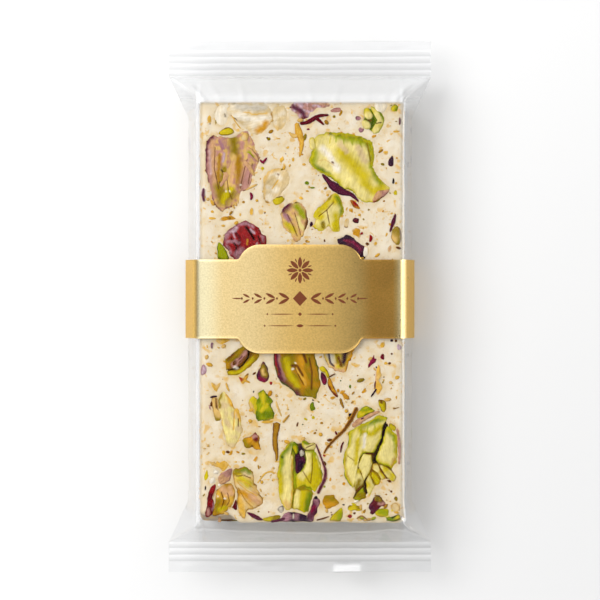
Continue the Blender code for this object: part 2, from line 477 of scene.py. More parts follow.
class Tray:
    """The mesh of one kind of piece, to which chips and ribbons are added."""

    def __init__(self, seed=0):
        self.whole = bmesh.new()
        self.scrap = bpy.data.meshes.new("scrap")
        self.seed = seed

    def begin(self):
        """Starts a shape in a small mesh of its own, which is quick to work on."""
        self.mesh = bmesh.new()
        self.tone = self.mesh.verts.layers.float_color.new("paint")
        self.grain = self.mesh.loops.layers.uv.new("grain")

    def end(self):
        """Adds the shape to the others."""
        self.mesh.to_mesh(self.scrap)
        self.mesh.free()
        self.whole.from_mesh(self.scrap)

    def add_all(self, shapes, place=None):
        for shape in shapes:
            self.seed += 1
            self.begin()
            if "line" in shape:
                self.add_ribbon(shape, place)
            else:
                self.add_chip(shape, place)
            self.end()

    def settle(self, verts, place, frame_point, turn):
        """Puts a shape in its place on the bar, and gives it its grain coordinates."""
        along, across = axes(turn)
        flats = {vert: vert.co.to_2d() - frame_point for vert in verts}
        for vert in verts:
            for loop in vert.link_loops:
                flat = flats[vert]
                shift = self.seed * 3.7
                loop[self.grain].uv = (flat.dot(along) + shift, flat.dot(across) + shift)
        for vert in verts:
            vert.co = place @ vert.co if place else keep_inside(vert.co)

    def add_chip(self, shape, place):
        outline = shape["outline"]
        if not shape["sharp"]:
            outline = curve_through(outline, closed=True)
        around = sum((b - a).length for a, b in zip(outline, outline[1:] + outline[:1]))
        fine = 0.24 if around > 14 else 0.30
        segments = int(clamp(around / fine, 10, 220))
        rings = int(clamp(around / math.pi / 2 / (fine * 0.8), 3, 50))
        under = max(2, rings // 6)
        outline = spaced(outline, segments, closed=True)
        centre = sum(outline, Vector((0, 0))) / segments
        self.roughen(outline, centre, shape["grow"], min(0.26, around / 80))
        made = bmesh.ops.create_uvsphere(
            self.mesh, u_segments=segments, v_segments=rings + under, radius=1.0)["verts"]
        tones = self.tones_of(shape)
        for vert in made:
            ball = vert.co
            column = round(math.atan2(ball.y, ball.x) / math.tau * segments) % segments
            ring = math.acos(clamp(ball.z, -1.0, 1.0)) / math.pi * (rings + under)
            rim = outline[column]
            if ring <= rings + 0.01:
                tone, vert.co = self.on_face(shape, tones, centre, rim, clamp(ring / rings))
            else:
                share = clamp(1 - (ring - rings) / under)
                tone, vert.co = self.below(shape, tones, centre, rim, share)
            vert[self.tone] = (*tone, 1.0)
        self.settle(made, place, centre, shape["grain"])

    def roughen(self, outline, centre, grow, rough):
        """Moves an outline outwards, evenly and then by uneven amounts."""
        for point in outline:
            out = (point - centre).normalized()
            point += out * (grow + rough * (
                wander(point.x, point.y, 1.3, self.seed)
                + 0.8 * wander(point.x, point.y, 0.5, self.seed + 50)))

    def on_face(self, shape, tones, centre, rim, share):
        """Colour and place of a point on a chip's face, a share of the way to its rim."""
        spoke = rim - centre
        spot = centre + spoke * share
        edge = (1 - share) * spoke.length
        tone, sink = self.tone_at(spot, edge, shape, tones)
        roll = min(0.55, spoke.length * 0.45)
        lip = 0.30 * wander(rim.x, rim.y, 1.4, self.seed + 6)
        fall = (shape["lift"] + 0.09 + lip) * clamp(1 - edge / roll) ** 1.6
        grain, side = axes(shape["grain"])
        across = spot.dot(side) + 0.9 * wander(spot.x, spot.y, 4.0, self.seed + 12)
        along = spot.dot(grain)
        wave = (1.4 * wander(along * 0.4, across, 2.4, self.seed + 9)
                + 0.8 * wander(along * 0.25, across, 0.9, self.seed + 10)
                + 0.4 * wander(along * 0.16, across, 0.4, self.seed))
        wave *= min(1.0, edge / 0.4 + 0.3)
        # Darker in the hollows of the wrinkles and lighter on their ridges, painted shade and
        # painted highlight, besides a random mottle.
        mottle_and_relief_shade = 1 + 0.10 * wave + 0.11 * wander(spot.x, spot.y, 0.6, self.seed + 11)
        height = shape["crown"] * (1 - share ** 3) + wave * shape["wrinkle"] - sink - fall
        return tone * clamp(mottle_and_relief_shade, 0.45, 1.3), (spot.x, spot.y, shape["lift"] + height)

    def below(self, shape, tones, centre, rim, share):
        """Colour and place of a point under a chip's rim, sunk into the nougat."""
        spot = centre + (rim - centre) * share
        tone, _ = self.tone_at(spot, 0.0, shape, tones)
        return tone, (spot.x, spot.y, -RIM_DEPTH - shape["depth"] * (1 - share ** 1.6))

    def tones_of(self, shape):
        """The colours that a chip's painting uses."""
        names = {shape["flesh"], *(tone for tone, _ in shape["rims"]),
                 *(tone for tone, *_ in shape["strokes"])}
        if shape["patches"]:
            names.add(shape["patches"])
        return {name: paint(name) for name in names}

    def tone_at(self, spot, edge, shape, tones):
        """Colour and groove depth at a place on a chip."""
        warp = Vector((wander(spot.x, spot.y, 0.9, self.seed + 3),
                       wander(spot.x, spot.y, 0.9, self.seed + 4))) * 0.28
        place = spot + warp
        tone = tones[shape["flesh"]].copy()
        if shape["patches"]:
            size = shape["patch_size"]
            patch = ease(0.5 + 1.6 * wander(spot.x, spot.y, size, self.seed + 5))
            tone = tone.lerp(tones[shape["patches"]], patch)
        sink = 0.0
        for name, width, line, depth in shape["strokes"]:
            away = distance_to(spot if depth else place, line)
            width *= 0.8 if depth else 1.25
            if away < width:
                cover = (1 - (away / width) ** 2) ** (0.7 if depth else 1.5)
                tone = tone.lerp(tones[name], cover)
                sink = max(sink, depth * cover)
        uneven = 1 + 1.1 * wander(spot.x, spot.y, 1.6, self.seed + 8)
        for name, width in shape["rims"]:
            cover = 1 - ease(edge / (width * max(uneven, 0.1)) / 1.5)
            tone = tone.lerp(tones[name], cover)
        return tone, sink

    def add_ribbon(self, shape, place):
        line = curve_through(shape["line"], closed=False)
        long = sum((b - a).length for a, b in zip(line, line[1:]))
        rings = int(clamp(long / 0.3, 6, 60))
        line = spaced(line, rings + 1, closed=False)
        wide = max(point.z for point in line)
        made = bmesh.ops.create_uvsphere(
            self.mesh, u_segments=8 if wide < 0.8 else 12, v_segments=rings, radius=1.0)["verts"]
        flesh, edge = paint(shape["flesh"]), paint(shape["edge"])
        for vert in made:
            turn = math.atan2(vert.co.y, vert.co.x)
            ring = round(math.acos(clamp(vert.co.z, -1.0, 1.0)) / math.pi * rings)
            here = line[ring]
            ahead = line[min(ring + 1, rings)].to_2d() - line[max(ring - 1, 0)].to_2d()
            side = Vector((-ahead.y, ahead.x)).normalized()
            taper = 0.0 if ring in (0, rings) else 1.0
            ragged = 1 + 0.25 * wander(here.x, here.y, 0.6, self.seed)
            half = here.z / 2 * taper * ragged
            spot = here.to_2d() + side * math.cos(turn) * half
            height = 0.12 + 0.1 * min(here.z, 1.0)
            ripple = 0.05 * wander(spot.x, spot.y, 0.7, self.seed) * taper
            vert.co = (spot.x, spot.y, shape["lift"] + math.sin(turn) * height * taper + ripple)
            across = abs(math.cos(turn))
            tone = flesh.lerp(edge, ease(across * 1.6 - 0.6 + 0.4 * wander(
                spot.x, spot.y, 0.5, self.seed)))
            vert[self.tone] = (*tone, 1.0)
        start, end = line[0].to_2d(), line[-1].to_2d()
        turn = math.atan2(end.y - start.y, end.x - start.x)
        self.settle(made, place, start, turn)


def relief(point):
    """How far the nougat's surface is from flat, here, in mm."""
    return (0.16 * noise.noise(point / 5.0) + 0.13 * noise.noise(point / 1.9)
            + 0.07 * noise.noise(point / 0.9))


def keep_inside(point):
    """A point of a chip on the face, on the nougat and within the bar's sides."""
    bar = bpy.context.scene.nougat_bar
    half = bar.width / 2 - INSET
    rise = min(relief(Vector((point.x, point.y, bar.top))), 0.14)
    return Vector((clamp(point.x, bar.shift - half, bar.shift + half),
                   clamp(point.y, -bar.lower_end + INSET, bar.upper_end - INSET),
                   min(bar.top + point.z + rise, UNDER_FILM + 0.02 * point.z)))


# ---------------------------------------------------------------- what shows at the face

UPPER_KERNELS = (
    # Large wrinkled kernel at the upper left. Its small ivory dots are painted glints, and the ink
    # in its cracks painted shade.
    cut("tan", "umber 0.22", """-19.5,38.5 -20.5,37.9 -21.2,36.3 -21.3,34.3 -21.2,30.3
        -20.8,28.6 -20.2,26 -19.4,22.8 -17.5,21 -16.7,21.7 -15.1,22 -13.7,23 -13.1,25.5
        -11.3,26.5 -10.5,29.2 -9.5,30.9 -8.6,33.4 -9.6,34.9 -10.7,38 -12.4,39.6 -14.7,38.2
        -16.5,38.1 -18.6,38.1""", patches="pink", patch_size=0.9, crown=0.2, grain=78,
        wrinkle=0.13, strokes="""
        pink 1.1: -20.4,37 -20.6,30 -19.6,25;
        lilac 0.5: -20,35 -19.8,30;
        lilac 0.35: -17,34.2 -17.2,32.6;
        olive 0.8: -16.9,31 -17.6,27 -17.4,24;
        plum 0.5: -19.4,38.3 -21,36.3 -21.2,30.3 -20.5,26 -19.4,22.8 -17.6,21;
        peach 0.8: -19.6,36.8 -19.4,31 -18.8,27;
        bronze 0.5: -18,34 -18.2,31 -18.3,28;
        olive 1.3: -14.8,37.4 -14.6,33.6;
        bronze 1.2: -13.9,33 -13.7,30 -13.4,27.6;
        tan 0.9: -15,33.4 -15.8,29.6 -16.2,26;
        peach 0.45: -14.9,32.4 -15.4,28;
        olive 1.5: -18.3,26.6 -17.2,23.6 -15.4,25.4;
        yellow 0.7: -17.3,23.4 -16.6,25.2 -15.4,26.4;
        pink 1.6: -11.4,30.5 -12.4,27;
        umber 0.16 0.12: -19,35.6 -19.2,31 -18.2,26.4;
        umber 0.14 0.1: -16.4,29 -16,26 -15.2,24;
        umber 0.16 0.12: -11.8,33 -12.6,30 -13.4,26.4;
        umber 0.14 0.1: -10.6,32 -11.2,29.6 -11.6,27.4;
        ink 0.2 0.1: -16.8,29.6 -17.6,30.6;
        ink 0.24 0.1: -17.5,27.4 -18,27.8;
        ivory 0.24: -16.6,25.9 -16.5,25.7;
        ivory 0.22: -15.8,25.9 -15.7,25.8;
        ivory 0.22: -13.4,27.2 -13.3,27.1;
        wine 0.4: -16.4,21.9 -15,22.3"""),
    # Torn skin and flakes that stand out of it.
    cut("pink", "plum 0.16", """-18.6,37.8 -17.4,38.2 -16.2,37.4 -16.4,35.4 -15.6,33.2
        -15,31.4 -16,30.2 -16.6,31.8 -17.4,33.6 -18,35.6""", patches="peach", patch_size=0.8,
        lift=0.24, depth=0.6, grain=75, wrinkle=0.14, strokes="""
        mauve 0.5: -17.8,36.8 -17,34.6"""),
    cut("peach", "pink 0.3", """-17.2,30.6 -16.2,30.6 -15.6,29.4 -16.8,27.6 -17.9,26.2
        -18.4,27 -17.4,28.4""", patches="pink", lift=0.24, depth=0.5, grain=60, wrinkle=0.12),
    cut("tan", "umber 0.2", """-12,36 -10.8,35.4 -9.4,33.6 -9.2,32.4 -10.4,33.2 -11.6,34.2
        -12.4,34.6""", patches="peach", lift=0.26, depth=0.6, grain=-50, wrinkle=0.1,
        strokes="""
        lime 0.5: -11.4,34.6 -10.6,33.6"""),
    cut("peach", "umber 0.2", """-12.6,33.2 -11.4,32.4 -10.4,30.6 -10,29 -11,29.6 -12,31
        -13,32.2""", patches="tan", lift=0.28, depth=0.6, grain=-60, wrinkle=0.1),
    cut("tan", "olive 0.3", """-13.2,38.4 -12.2,39.2 -11.4,38.6 -11.6,37.2 -12.6,36.8
        -13.4,37.4""", patches="toasted", lift=0.26, depth=0.6, wrinkle=0.1),
    # A dark patch between the flakes: painted shadow.
    cut("ink", "umber 0.2", """-13.6,36.2 -12.4,36 -11.7,34.8 -12.2,34.2 -13.4,34.9 -14,35.6""",
        lift=0.16, crown=0.04, depth=0.5, sharp=True),
    # Sliver over its upper end.
    cut("lemon", "umber 0.35", """-18.3,38.9 -17.3,39.9 -15.8,40.1 -14.6,39.2 -15.6,38.4
        -17.4,38.3""", lift=0.26, depth=1.0, grain=0),
    # Cracked green nut at the upper right: its lobes, over a dark bed that is painted shade in the
    # cracks between them.
    cut("green", "lime 0.3", """14.6,44.4 16.4,44.6 18.2,43.4 18.6,41.4 17.8,39.2 16.2,38.8
        14.2,40.2 14,42""", lift=-0.06, crown=0.02, strokes="""
        leaf 0.5: 15.9,43.2 16.4,41.6 15.9,40.2;
        umber 0.24: 14.6,41.8 15.9,41.6"""),
    cut("pale", "lime 0.4, leaf 0.14", """15.8,44.8 17.4,44.4 18.7,43 19,41.4 18.4,39.8
        17.4,38.6 16.4,38.6 16,39.4 16.9,40.4 17.2,41.8 16.6,42.9""", patches="lemon", grain=100,
        depth=3.0, crown=0.3, strokes="""
        ink 0.16 0.2: 16.8,41 18.2,41.2;
        green 0.4: 17.8,43.8 18.7,42"""),
    cut("lemon", "green 0.25", """14.3,44.2 15.2,44.6 16.2,43.4 16.3,42.2 15.3,41.8 14.3,42.6""",
        patches="pale", depth=2.0, crown=0.26),
    cut("lime", "leaf 0.2", """13.7,41.6 14.6,41.9 15.8,41.2 15.9,39.9 14.9,39.5 13.9,40.3""",
        patches="pale", depth=2.0, crown=0.24),
    bit(21.3, 44.5, 2.5, 2, 20, "green", "leaf", patches="lemon"),
    bit(10.5, 18.9, 3, 1.3, 78, "tan", "umber", patches="toasted", wrinkle=0.12, grow=0.1),
    # Large cut pistachio at the upper right.
    cut("pale", "lemon 0.9, lime 0.45, leaf 0.16, umber 0.1", """2.7,35.2 3.6,38.6 9,39.1
        12.6,38.5 16,37.3 16.6,35.7 16.8,33.4 16.6,31.1 17.8,28.9 19.7,27 20.4,26.4 19.5,25.1
        17.8,23.9 16.4,23.2 14.6,23.3 13.3,23.7 12.4,24.9 11.1,26 9.4,26.5 8.1,27.8 5.2,29.6
        2.9,30.9 1.8,33""", crown=0.3, grain=72, wrinkle=0.07, strokes="""
        lime 1.3: 2.6,31.8 3,34.4;
        green 0.9: 2.4,31.4 4.4,30.6 6.4,29.4;
        lime 1.2: 8.6,38.2 12.6,37.4 15.6,36.6;
        leaf 0.8: 6.6,39 9.6,38.8 13,38.2 15.9,37.2;
        lime 1: 18.2,27.4 16.8,29.6 16.2,31.4;
        lemon 1.9: 9.4,34.4 12.4,31.2 14.4,29;
        lemon 1.3: 14.4,27.6 16.4,25.8 18.6,26.4;
        lime 0.8: 15.6,36.6 16.2,33 16,31.4;
        ivory 0.9: 5,35.4 6.4,34 8.4,30.6;
        toasted 0.8: 9,36.4 10.4,34.8;
        toasted 0.9: 13,35.6 14.4,32.8;
        lemon 0.16: 6.8,38.4 6.6,36.6;
        lime 0.2: 8.2,38.4 8.1,36.8;
        lime 0.2: 9.8,38.2 9.8,36.4;
        lime 0.22: 11.6,38 11.8,36.2;
        lime 0.22: 13.4,37.6 13.7,35.6;
        olive 0.3 0.12: 15,36.6 15.5,34.4 15.9,32;
        tan 0.12 0.05: 4,32.6 5.6,32.9 7.6,31.6;
        umber 0.25: 7.2,32.3 7.5,32.2"""),
    cut("pale", "lemon 0.3", """2,37.6 3,37.9 3.6,36.4 3.3,35 2.4,35.1 2.1,36.2""", lift=0.26,
        depth=1.0),
    # Kernels above the sleeve, left of the middle.
    cut("pale", "lemon 0.6, umber 0.14", """7.7,25.5 6.4,24.6 5.6,23.6 4,22.5 3.3,21.5
        2.8,20.2 3.4,19.2 3.1,17.9 4,16.8 5.2,16.8 6.5,17.9 7.3,16.8 8.9,16.7 9,19.6 9.9,20.6
        10,22 9.5,23.8 8.6,25.2""", crown=0.26, grain=60, patches="lemon", strokes="""
        green 0.9: 8.4,24.8 9.6,22.6 9.4,20.6;
        umber 0.5: 6.8,24.9 5.6,23.7 4.2,22.6;
        yellow 0.9: 8,20.4 8.2,17.4;
        olive 0.7 0.25: 5.2,18.6 5.3,17.8;
        umber 0.16 0.12: 6,21.6 4.2,20.2;
        umber 0.16 0.12: 6,21.6 7.6,23.4;
        umber 0.16 0.12: 6,21.6 6.6,18.6;
        ink 0.35: 6.5,25.2 6.8,25.4;
        ink 0.3: 5.3,24 5.5,24.2"""),
    cut("tan", "umber 0.2", """-2.9,23.2 -4.1,22 -4.4,20.7 -4.1,18.3 -3.3,17.1 -2.2,16.2
        -1.4,14.6 -0.1,14.6 0.5,15.5 1.6,17.4 2,18.9 1.7,20.5 1.3,22.3 0,23.4 -1.4,23.4""",
        patches="peach", patch_size=0.9, grain=110, wrinkle=0.12, strokes="""
        lemon 0.9: -2.9,18.4 -1.4,17;
        pale 0.6: -0.6,19.8 0.6,17.4;
        plum 1: -3.7,21.6 -2.6,22.8;
        mauve 0.7: -3.4,20.4 -2.4,19.4;
        lime 0.9: -0.9,22.4 0.2,21.4 0.8,20.2;
        umber 0.16 0.1: -2.8,20.6 -1.6,18.2 -0.6,15.8;
        umber 0.14 0.1: -1.2,21 -0.4,18.2 0.2,16;
        umber 0.5: 1.6,21.4 1.8,19.2 1.2,17.2;
        ink 0.28: -2.9,23.5 -0.4,23.4"""),
    cut("lemon", "olive 0.3", """-6.4,23.6 -5.4,24.8 -3.9,24.8 -3.3,23.8 -4.4,22.8 -5.6,22.7""",
        depth=1.4, strokes="""
        ink 0.3: -5.9,24.6 -3.9,24.8"""),
    # Half kernel beside the dark fruit.
    cut("lime", "leaf 0.35", """-18.4,14.6 -18.6,12.2 -18.4,10.6 -15.9,10.4 -16.4,12.6
        -17.3,13.9""", grain=80, strokes="""
        ink 0.3: -17.2,13.9 -16.2,12.4 -15.9,10.8"""),
    # Olive chunk at the right edge.
    cut("olive", "umber 0.3", """20.6,17.6 21.8,18 22.6,16.8 22.6,14.2 21.8,13.4 20.8,14.4
        20.3,16""", patches="tan", depth=3.0),
)

LOWER_KERNELS = (
    # Ring-shaped kernel with its skin inside, left of the sleeve's lower edge. Its ivory dot is a
    # painted glint, and the ink in its cracks painted shade.
    cut("olive", "olive 0.4", """-13,-8.9 -14.5,-10 -15.2,-10.5 -16,-11 -16.6,-11.6
        -16.8,-12.3 -16.7,-13.2 -16.7,-14.2 -16.2,-15.3 -15.2,-15.5 -13.9,-15.5 -13.2,-15.1
        -12.5,-14.6 -11.7,-13.8 -10.7,-13.1 -9.6,-11.9 -8.9,-10.6 -9.8,-9.6 -11.4,-8.8""",
        patches="bronze", crown=0.2, grain=35, strokes="""
        yellow 0.5: -10.6,-11.6 -13.2,-14.6 -15.8,-14.8;
        umber 1.3: -11.6,-10.6 -13.2,-12.2 -14.6,-13.4;
        pink 0.6: -12.2,-10.4 -13.6,-12 -15,-13;
        umber 0.2: -12.4,-11.2 -13.6,-12.4;
        plum 0.2: -13,-11 -14.4,-12.4;
        umber 0.5: -14.9,-10.6 -16.2,-11.9;
        ink 0.26 0.4: -11.4,-9.7 -11.5,-11.3 -12.8,-13.1 -14,-13.9 -16.3,-14.3;
        ink 0.22: -12.9,-9.2 -15.2,-10.7;
        ivory 0.4: -14.6,-13.5 -14.2,-13.7"""),
    # Purple teardrop.
    cut("plum", "violet 0.3", """-8.3,-12 -9,-13.6 -9.7,-14.9 -9.6,-16.2 -8.7,-17.1 -7.4,-17
        -6.7,-15.9 -7,-14.6 -7.6,-13.2""", grain=80, crown=0.2, strokes="""
        olive 0.9: -8.3,-13.6 -7.9,-15.4;
        tan 0.45: -8.3,-14.2 -8.1,-15.2;
        magenta 0.7: -9,-16.2 -7.8,-16.8"""),
    # Large golden kernel that runs under the sleeve. Its ivory dots are painted glints.
    cut("olive", "leaf 0.4", """-6,-10.5 -6.1,-12.1 -5.7,-14.1 -5,-16.2 -4.2,-17.3 -3.1,-17.9
        -1.8,-18.9 -0.9,-19.7 -0.2,-20.2 1.3,-20.4 2.6,-20.4 3.6,-20.7 4.1,-19.5 4.6,-18.3
        4.7,-17 4.3,-14.8 4,-13.2 3.7,-11.9 3.6,-10.5 3,-8.4 0,-7 -4,-7.6 -5.6,-9""",
        patches="bronze", crown=0.36, grain=115, wrinkle=0.09, strokes="""
        yellow 0.8: -3,-12 -2.4,-15 -0.6,-17.8;
        amber 1.1: 0.4,-11.8 0,-14 1.2,-17.2;
        umber 0.2 0.14: -1.2,-13.6 -0.2,-15.6 0.9,-17.6;
        honey 0.3: -0.8,-13.8 0.4,-15.6 1.3,-17.4;
        umber 0.45 0.12: -1.8,-13.2 -0.6,-13.3 0.6,-15.4;
        umber 0.5 0.1: 0.8,-10.6 1.4,-12.4;
        bronze 0.8: 3,-10.8 3,-13.6 3.4,-15.6;
        umber 0.3 0.12: 2.1,-11.6 2.7,-14.6 2.6,-18.6;
        ivory 0.26: -1.7,-14.1 -1.6,-13.9;
        ivory 0.22: -1,-12.7 -1,-12.6;
        pink 0.45: -4.9,-9.6 -4.8,-12.4 -4.3,-14.4 -3.4,-16.4;
        plum 1.4: -5.9,-9.6 -5.9,-12.4 -5.2,-15 -4.4,-16.8 -3,-18.2 -0.9,-20;
        plum 0.3: -5.2,-10 -5.1,-12.6 -4.4,-15;
        crimson 0.22: -5.5,-10.6 -5.4,-13 -4.8,-15.2"""),
    # Greyish cut nut under the sleeve, right of it.
    cut("tan", "umber 0.3", """4.9,-10.6 5.3,-12 5.9,-13.2 6.6,-13.7 7.5,-14 8.1,-14.6 9,-14.9
        10.1,-14.9 10.8,-13.8 11.2,-12.4 12,-10.9 12.3,-9 9,-7.8 6,-8.4""", patches="lemon",
        crown=0.14, grain=100, wrinkle=0.09, strokes="""
        smoke 0.9: 6.6,-10.4 7.2,-12.4;
        olive 0.6: 8.2,-10.6 8.4,-12.4;
        ink 0.32 0.3: 5,-10.4 5.4,-12 6.2,-13.2;
        violet 0.35 0.2: 6.4,-10.4 6.8,-12.6 7.6,-13.4;
        violet 0.8: 10.2,-10.4 9.7,-12.6;
        umber 0.4: 8.7,-11.4 9.2,-13.4;
        amber 0.7: 11.8,-10 11,-12.4 10.5,-14.2;
        peach 0.7: 7.6,-14.2 9.6,-14.6"""),
    # Wedge, and the golden leaf under it.
    cut("lemon", "olive 0.3", """4.1,-13.6 5.1,-13.1 5.9,-13.8 6.4,-14.6 6.6,-15.7 6.2,-16
        5.6,-14.9 4.7,-14.6""", patches="yellow", lift=0.22, depth=1.5, grain=130),
    cut("bronze", "umber 0.25", """6.6,-15.9 7.1,-16.8 7.8,-18.3 8.3,-19.5 8.5,-20.3 7.7,-19.9
        6.6,-18.7 6.1,-17.7 6.2,-16.5""", patches="amber", lift=0.2, depth=1.5, grain=115,
        strokes="""
        wine 0.28: 6.2,-17.4 6.8,-18.8 8.2,-20.1"""),
    # Green chunk with its pale side piece.
    cut("lemon", "umber 0.22", """-10.6,-19.9 -11.5,-20.7 -11.7,-21.7 -11.3,-22.8 -10.7,-23.7
        -9.9,-24.4 -9.2,-23.2 -9,-22 -9.2,-20.9 -10,-20.1""", lift=0.06, grain=75, strokes="""
        tan 0.4: -11.2,-21.4 -10.4,-23.6"""),
    cut("lime", "green 0.5, leaf 0.2", """-8.2,-18.3 -9.6,-19.1 -9.3,-20.2 -9.9,-21.6
        -9.6,-22.8 -10.2,-23.8 -9.9,-25.1 -9.6,-26.1 -8.5,-25.6 -6.9,-25.7 -5.7,-25.3
        -5.6,-23.9 -6.3,-22.6 -6.5,-21.8 -5.8,-21.2 -6.7,-20.2 -7.6,-19.4""", crown=0.3, lift=0.14,
        grain=75, patches="green", wrinkle=0.1, sharp=True, strokes="""
        lemon 0.7: -8.3,-19.6 -8.2,-21.4;
        lemon 0.5: -7.4,-22 -8.6,-23.4;
        lemon 0.4: -9,-19.1 -9.2,-20;
        leaf 0.4: -6,-22 -5.7,-24.6;
        leaf 0.3: -9.8,-23.6 -9.7,-25.6;
        honey 0.5: -8.2,-25.8 -6.2,-25.6"""),
    # Small green drop at the tip of the golden kernel.
    cut("green", "leaf 0.25", """2.8,-21.2 2.3,-21.7 2.1,-22.7 2.5,-23.5 3.6,-23.1 3.2,-22.2
        3.1,-21.4""", depth=1.0, strokes="""
        ink 0.3: 2.7,-20.8 3.1,-21.4"""),
    # Double pistachio at the lower middle: bed, left, right and lower lobes, top leaves. The bed
    # is painted shade in the gaps between the lobes.
    cut("olive", "", """-1.5,-30.4 1.2,-30.2 3.4,-31.4 4.6,-36 4.9,-37.8 4,-40.4 2.8,-41.6
        2.3,-44.2 1,-46 -3,-45.4 -4.7,-41.5 -4.7,-36 -3.3,-32.2""", patches="lime", lift=-0.1,
        crown=0.04, strokes="""
        violet 1.6: 0.2,-31.6 0,-36"""),
    cut("pale", "lemon 0.7, olive 0.26", """-1.5,-30 -2.2,-30.2 -2.9,-30.9 -3.5,-31.9
        -4.5,-32.9 -4.8,-34.3 -4.9,-36.1 -5.2,-37.6 -5.1,-39.3 -4.9,-41.5 -4.5,-43.5 -3.9,-44.7
        -3.1,-45.8 -2,-45.6 -1.6,-43.4 -1.4,-41.2 -1.3,-38.6 -1.3,-35.6 -1.5,-33.6 -2,-32""",
        crown=0.36, grain=88, strokes="""
        green 1.2: -2.4,-30.8 -4,-33 -4.7,-35.4;
        lime 0.8: -4.4,-34.6 -4.6,-38;
        yellow 1: -4.5,-38 -4.4,-41.4;
        tan 1: -3.4,-44.2 -2.2,-45.2;
        leaf 0.35: -4.3,-33.7 -3.8,-33.8;
        honey 0.35: -1.7,-34.4 -1.6,-40 -1.9,-44.8"""),
    cut("lemon", "lime 0.5, leaf 0.14", """1.2,-32.2 3.4,-32.3 4.2,-34 4.9,-36 5.2,-37.8
        5,-39.2 4.2,-40.5 3.3,-41.4 2.8,-41 1.9,-40.4 0,-40.5 -0.8,-40.7 -1,-38.2 0.2,-36.8
        1.1,-35 1.4,-33.6""", crown=0.34, grain=82, strokes="""
        pale 1: 1.8,-33 1.9,-36 0.4,-38;
        lime 0.8: 3,-32.6 3.4,-34.6;
        yellow 1.4: 3.6,-34.8 4.2,-38 3.2,-40;
        amber 0.5: 4.9,-37.6 5,-38.4;
        pale 0.35: 3.9,-33.4 4.8,-36.2;
        olive 0.2 0.16: 2.8,-32.8 2.8,-36.2 2.4,-39.6;
        umber 0.13 0.1: 0.6,-36.8 2.2,-39.4"""),
    cut("lemon", "olive 0.3", """-0.9,-40.9 -1.5,-43.4 -1.7,-45.5 -0.8,-45.5 0.5,-46.1
        1.2,-46.4 1.8,-45.9 2.5,-44.2 2.9,-42.5 3.1,-41.5 1.9,-40.9 0.2,-40.9""", crown=0.3,
        grain=82, strokes="""
        pale 0.9: -0.6,-41.4 -0.9,-44.6;
        yellow 0.9: 0.8,-41.6 0.4,-45.4;
        green 0.8: 2.3,-41.8 1.5,-45.4"""),
    cut("green", "leaf 0.25", """-1.5,-30 -0.8,-30.4 -0.4,-31.2 -0.3,-32.4 -0.9,-33.1
        -1.5,-32.5 -2,-31.2""", lift=0.2, depth=2.0, strokes="""
        yellow 0.45: -1.1,-31.6 -0.9,-32.8"""),
    cut("lemon", "olive 0.28", """0.4,-30 1.2,-29.9 2.2,-30.6 3.3,-30.5 3.8,-31.4 3.6,-32
        2.6,-32.2 1.4,-32.1 0.6,-31.6 0.2,-30.8""", patches="pale", lift=0.2, depth=2.0, grain=10,
        strokes="""
        green 0.5: 0.8,-30.2 1.8,-30.7;
        umber 0.18 0.15: 1.4,-31.6 3.2,-30.8"""),
    # Cap of the large cracked pistachio at the lower right.
    cut("lemon", "green 0.5, leaf 0.2", """12.7,-24 13.2,-23.2 13.8,-22.6 14.6,-22.2
        15.5,-22.3 16.3,-22.8 17.1,-23.3 15.7,-24 14.5,-24.7 13.4,-25.1 12.6,-25.2""", crown=0.3,
        grain=25, strokes="""
        lime 0.6: 14,-23.2 15.8,-23"""),
    # Dark bed of its cracks, and its shards. The bed is painted shade down the cracks.
    cut("umber", "umber 0.2", """12.8,-27 16.8,-25.2 19.4,-25.4 20.9,-28.4 21.8,-31.2
        21.8,-33.8 20.9,-36 21.2,-38.2 20.7,-39 18.3,-39 16.4,-41 15,-42.4 13.1,-43.4
        12.2,-42.6 12.1,-40.9 10.1,-37.7 9.8,-34 10.9,-29.7""", lift=-0.1, crown=0.02,
        patches="olive", strokes="""
        ink 1.3: 19.4,-25.8 18.4,-29.6 17.6,-32.4 16.8,-34.6;
        ink 0.7: 14.6,-38.8 15,-40.6 15.2,-42.6"""),
    cut("pale", "lemon 0.9, lime 0.4, leaf 0.16", """12.6,-26.9 13.8,-26.1 15.7,-25.5
        16.8,-24.6 17.9,-24 19,-24.4 19.6,-25 18.6,-26.9 18.3,-29.2 17.4,-31.4 16.6,-32.7
        14.2,-33 12.7,-35.4 12,-37 11.5,-38.8 11.9,-40.9 11.2,-40.1 10.5,-39.1 9.9,-37.7
        9.7,-36 9.6,-34 9.7,-32.4 10.5,-31.4 10.7,-29.7 11,-27.8""", crown=0.34, grain=70,
        strokes="""
        green 1.2: 13.4,-26.6 16.6,-25.4 18.6,-24.8;
        yellow 0.9: 13.6,-28 16,-28.6 18,-27;
        lime 0.8: 11.2,-28.2 10.6,-31;
        olive 0.7: 10,-32 9.9,-36.4;
        bronze 0.6: 10.2,-37.4 11.2,-40;
        lemon 0.6: 13,-29.6 12.4,-35;
        ivory 0.5: 14.6,-28.8 14.2,-31.4;
        lime 0.16: 15.2,-26.4 15,-28.4;
        lime 0.16: 13.9,-26.9 13.4,-29;
        lime 0.16: 16.6,-26 16.8,-28;
        olive 0.12 0.08: 10.4,-33.2 12.2,-34.6;
        plum 0.22: 9.7,-31.6 9.4,-34.6 9.8,-38"""),
    cut("pale", "lemon 0.25", """14.2,-33.2 16,-33.4 16.1,-35.2 15.8,-36.4 15.2,-37.4
        14.4,-38.9 13.8,-37.4 12.9,-35.6""", crown=0.16, lift=0.16, grow=0.16, sharp=True,
        grain=70),
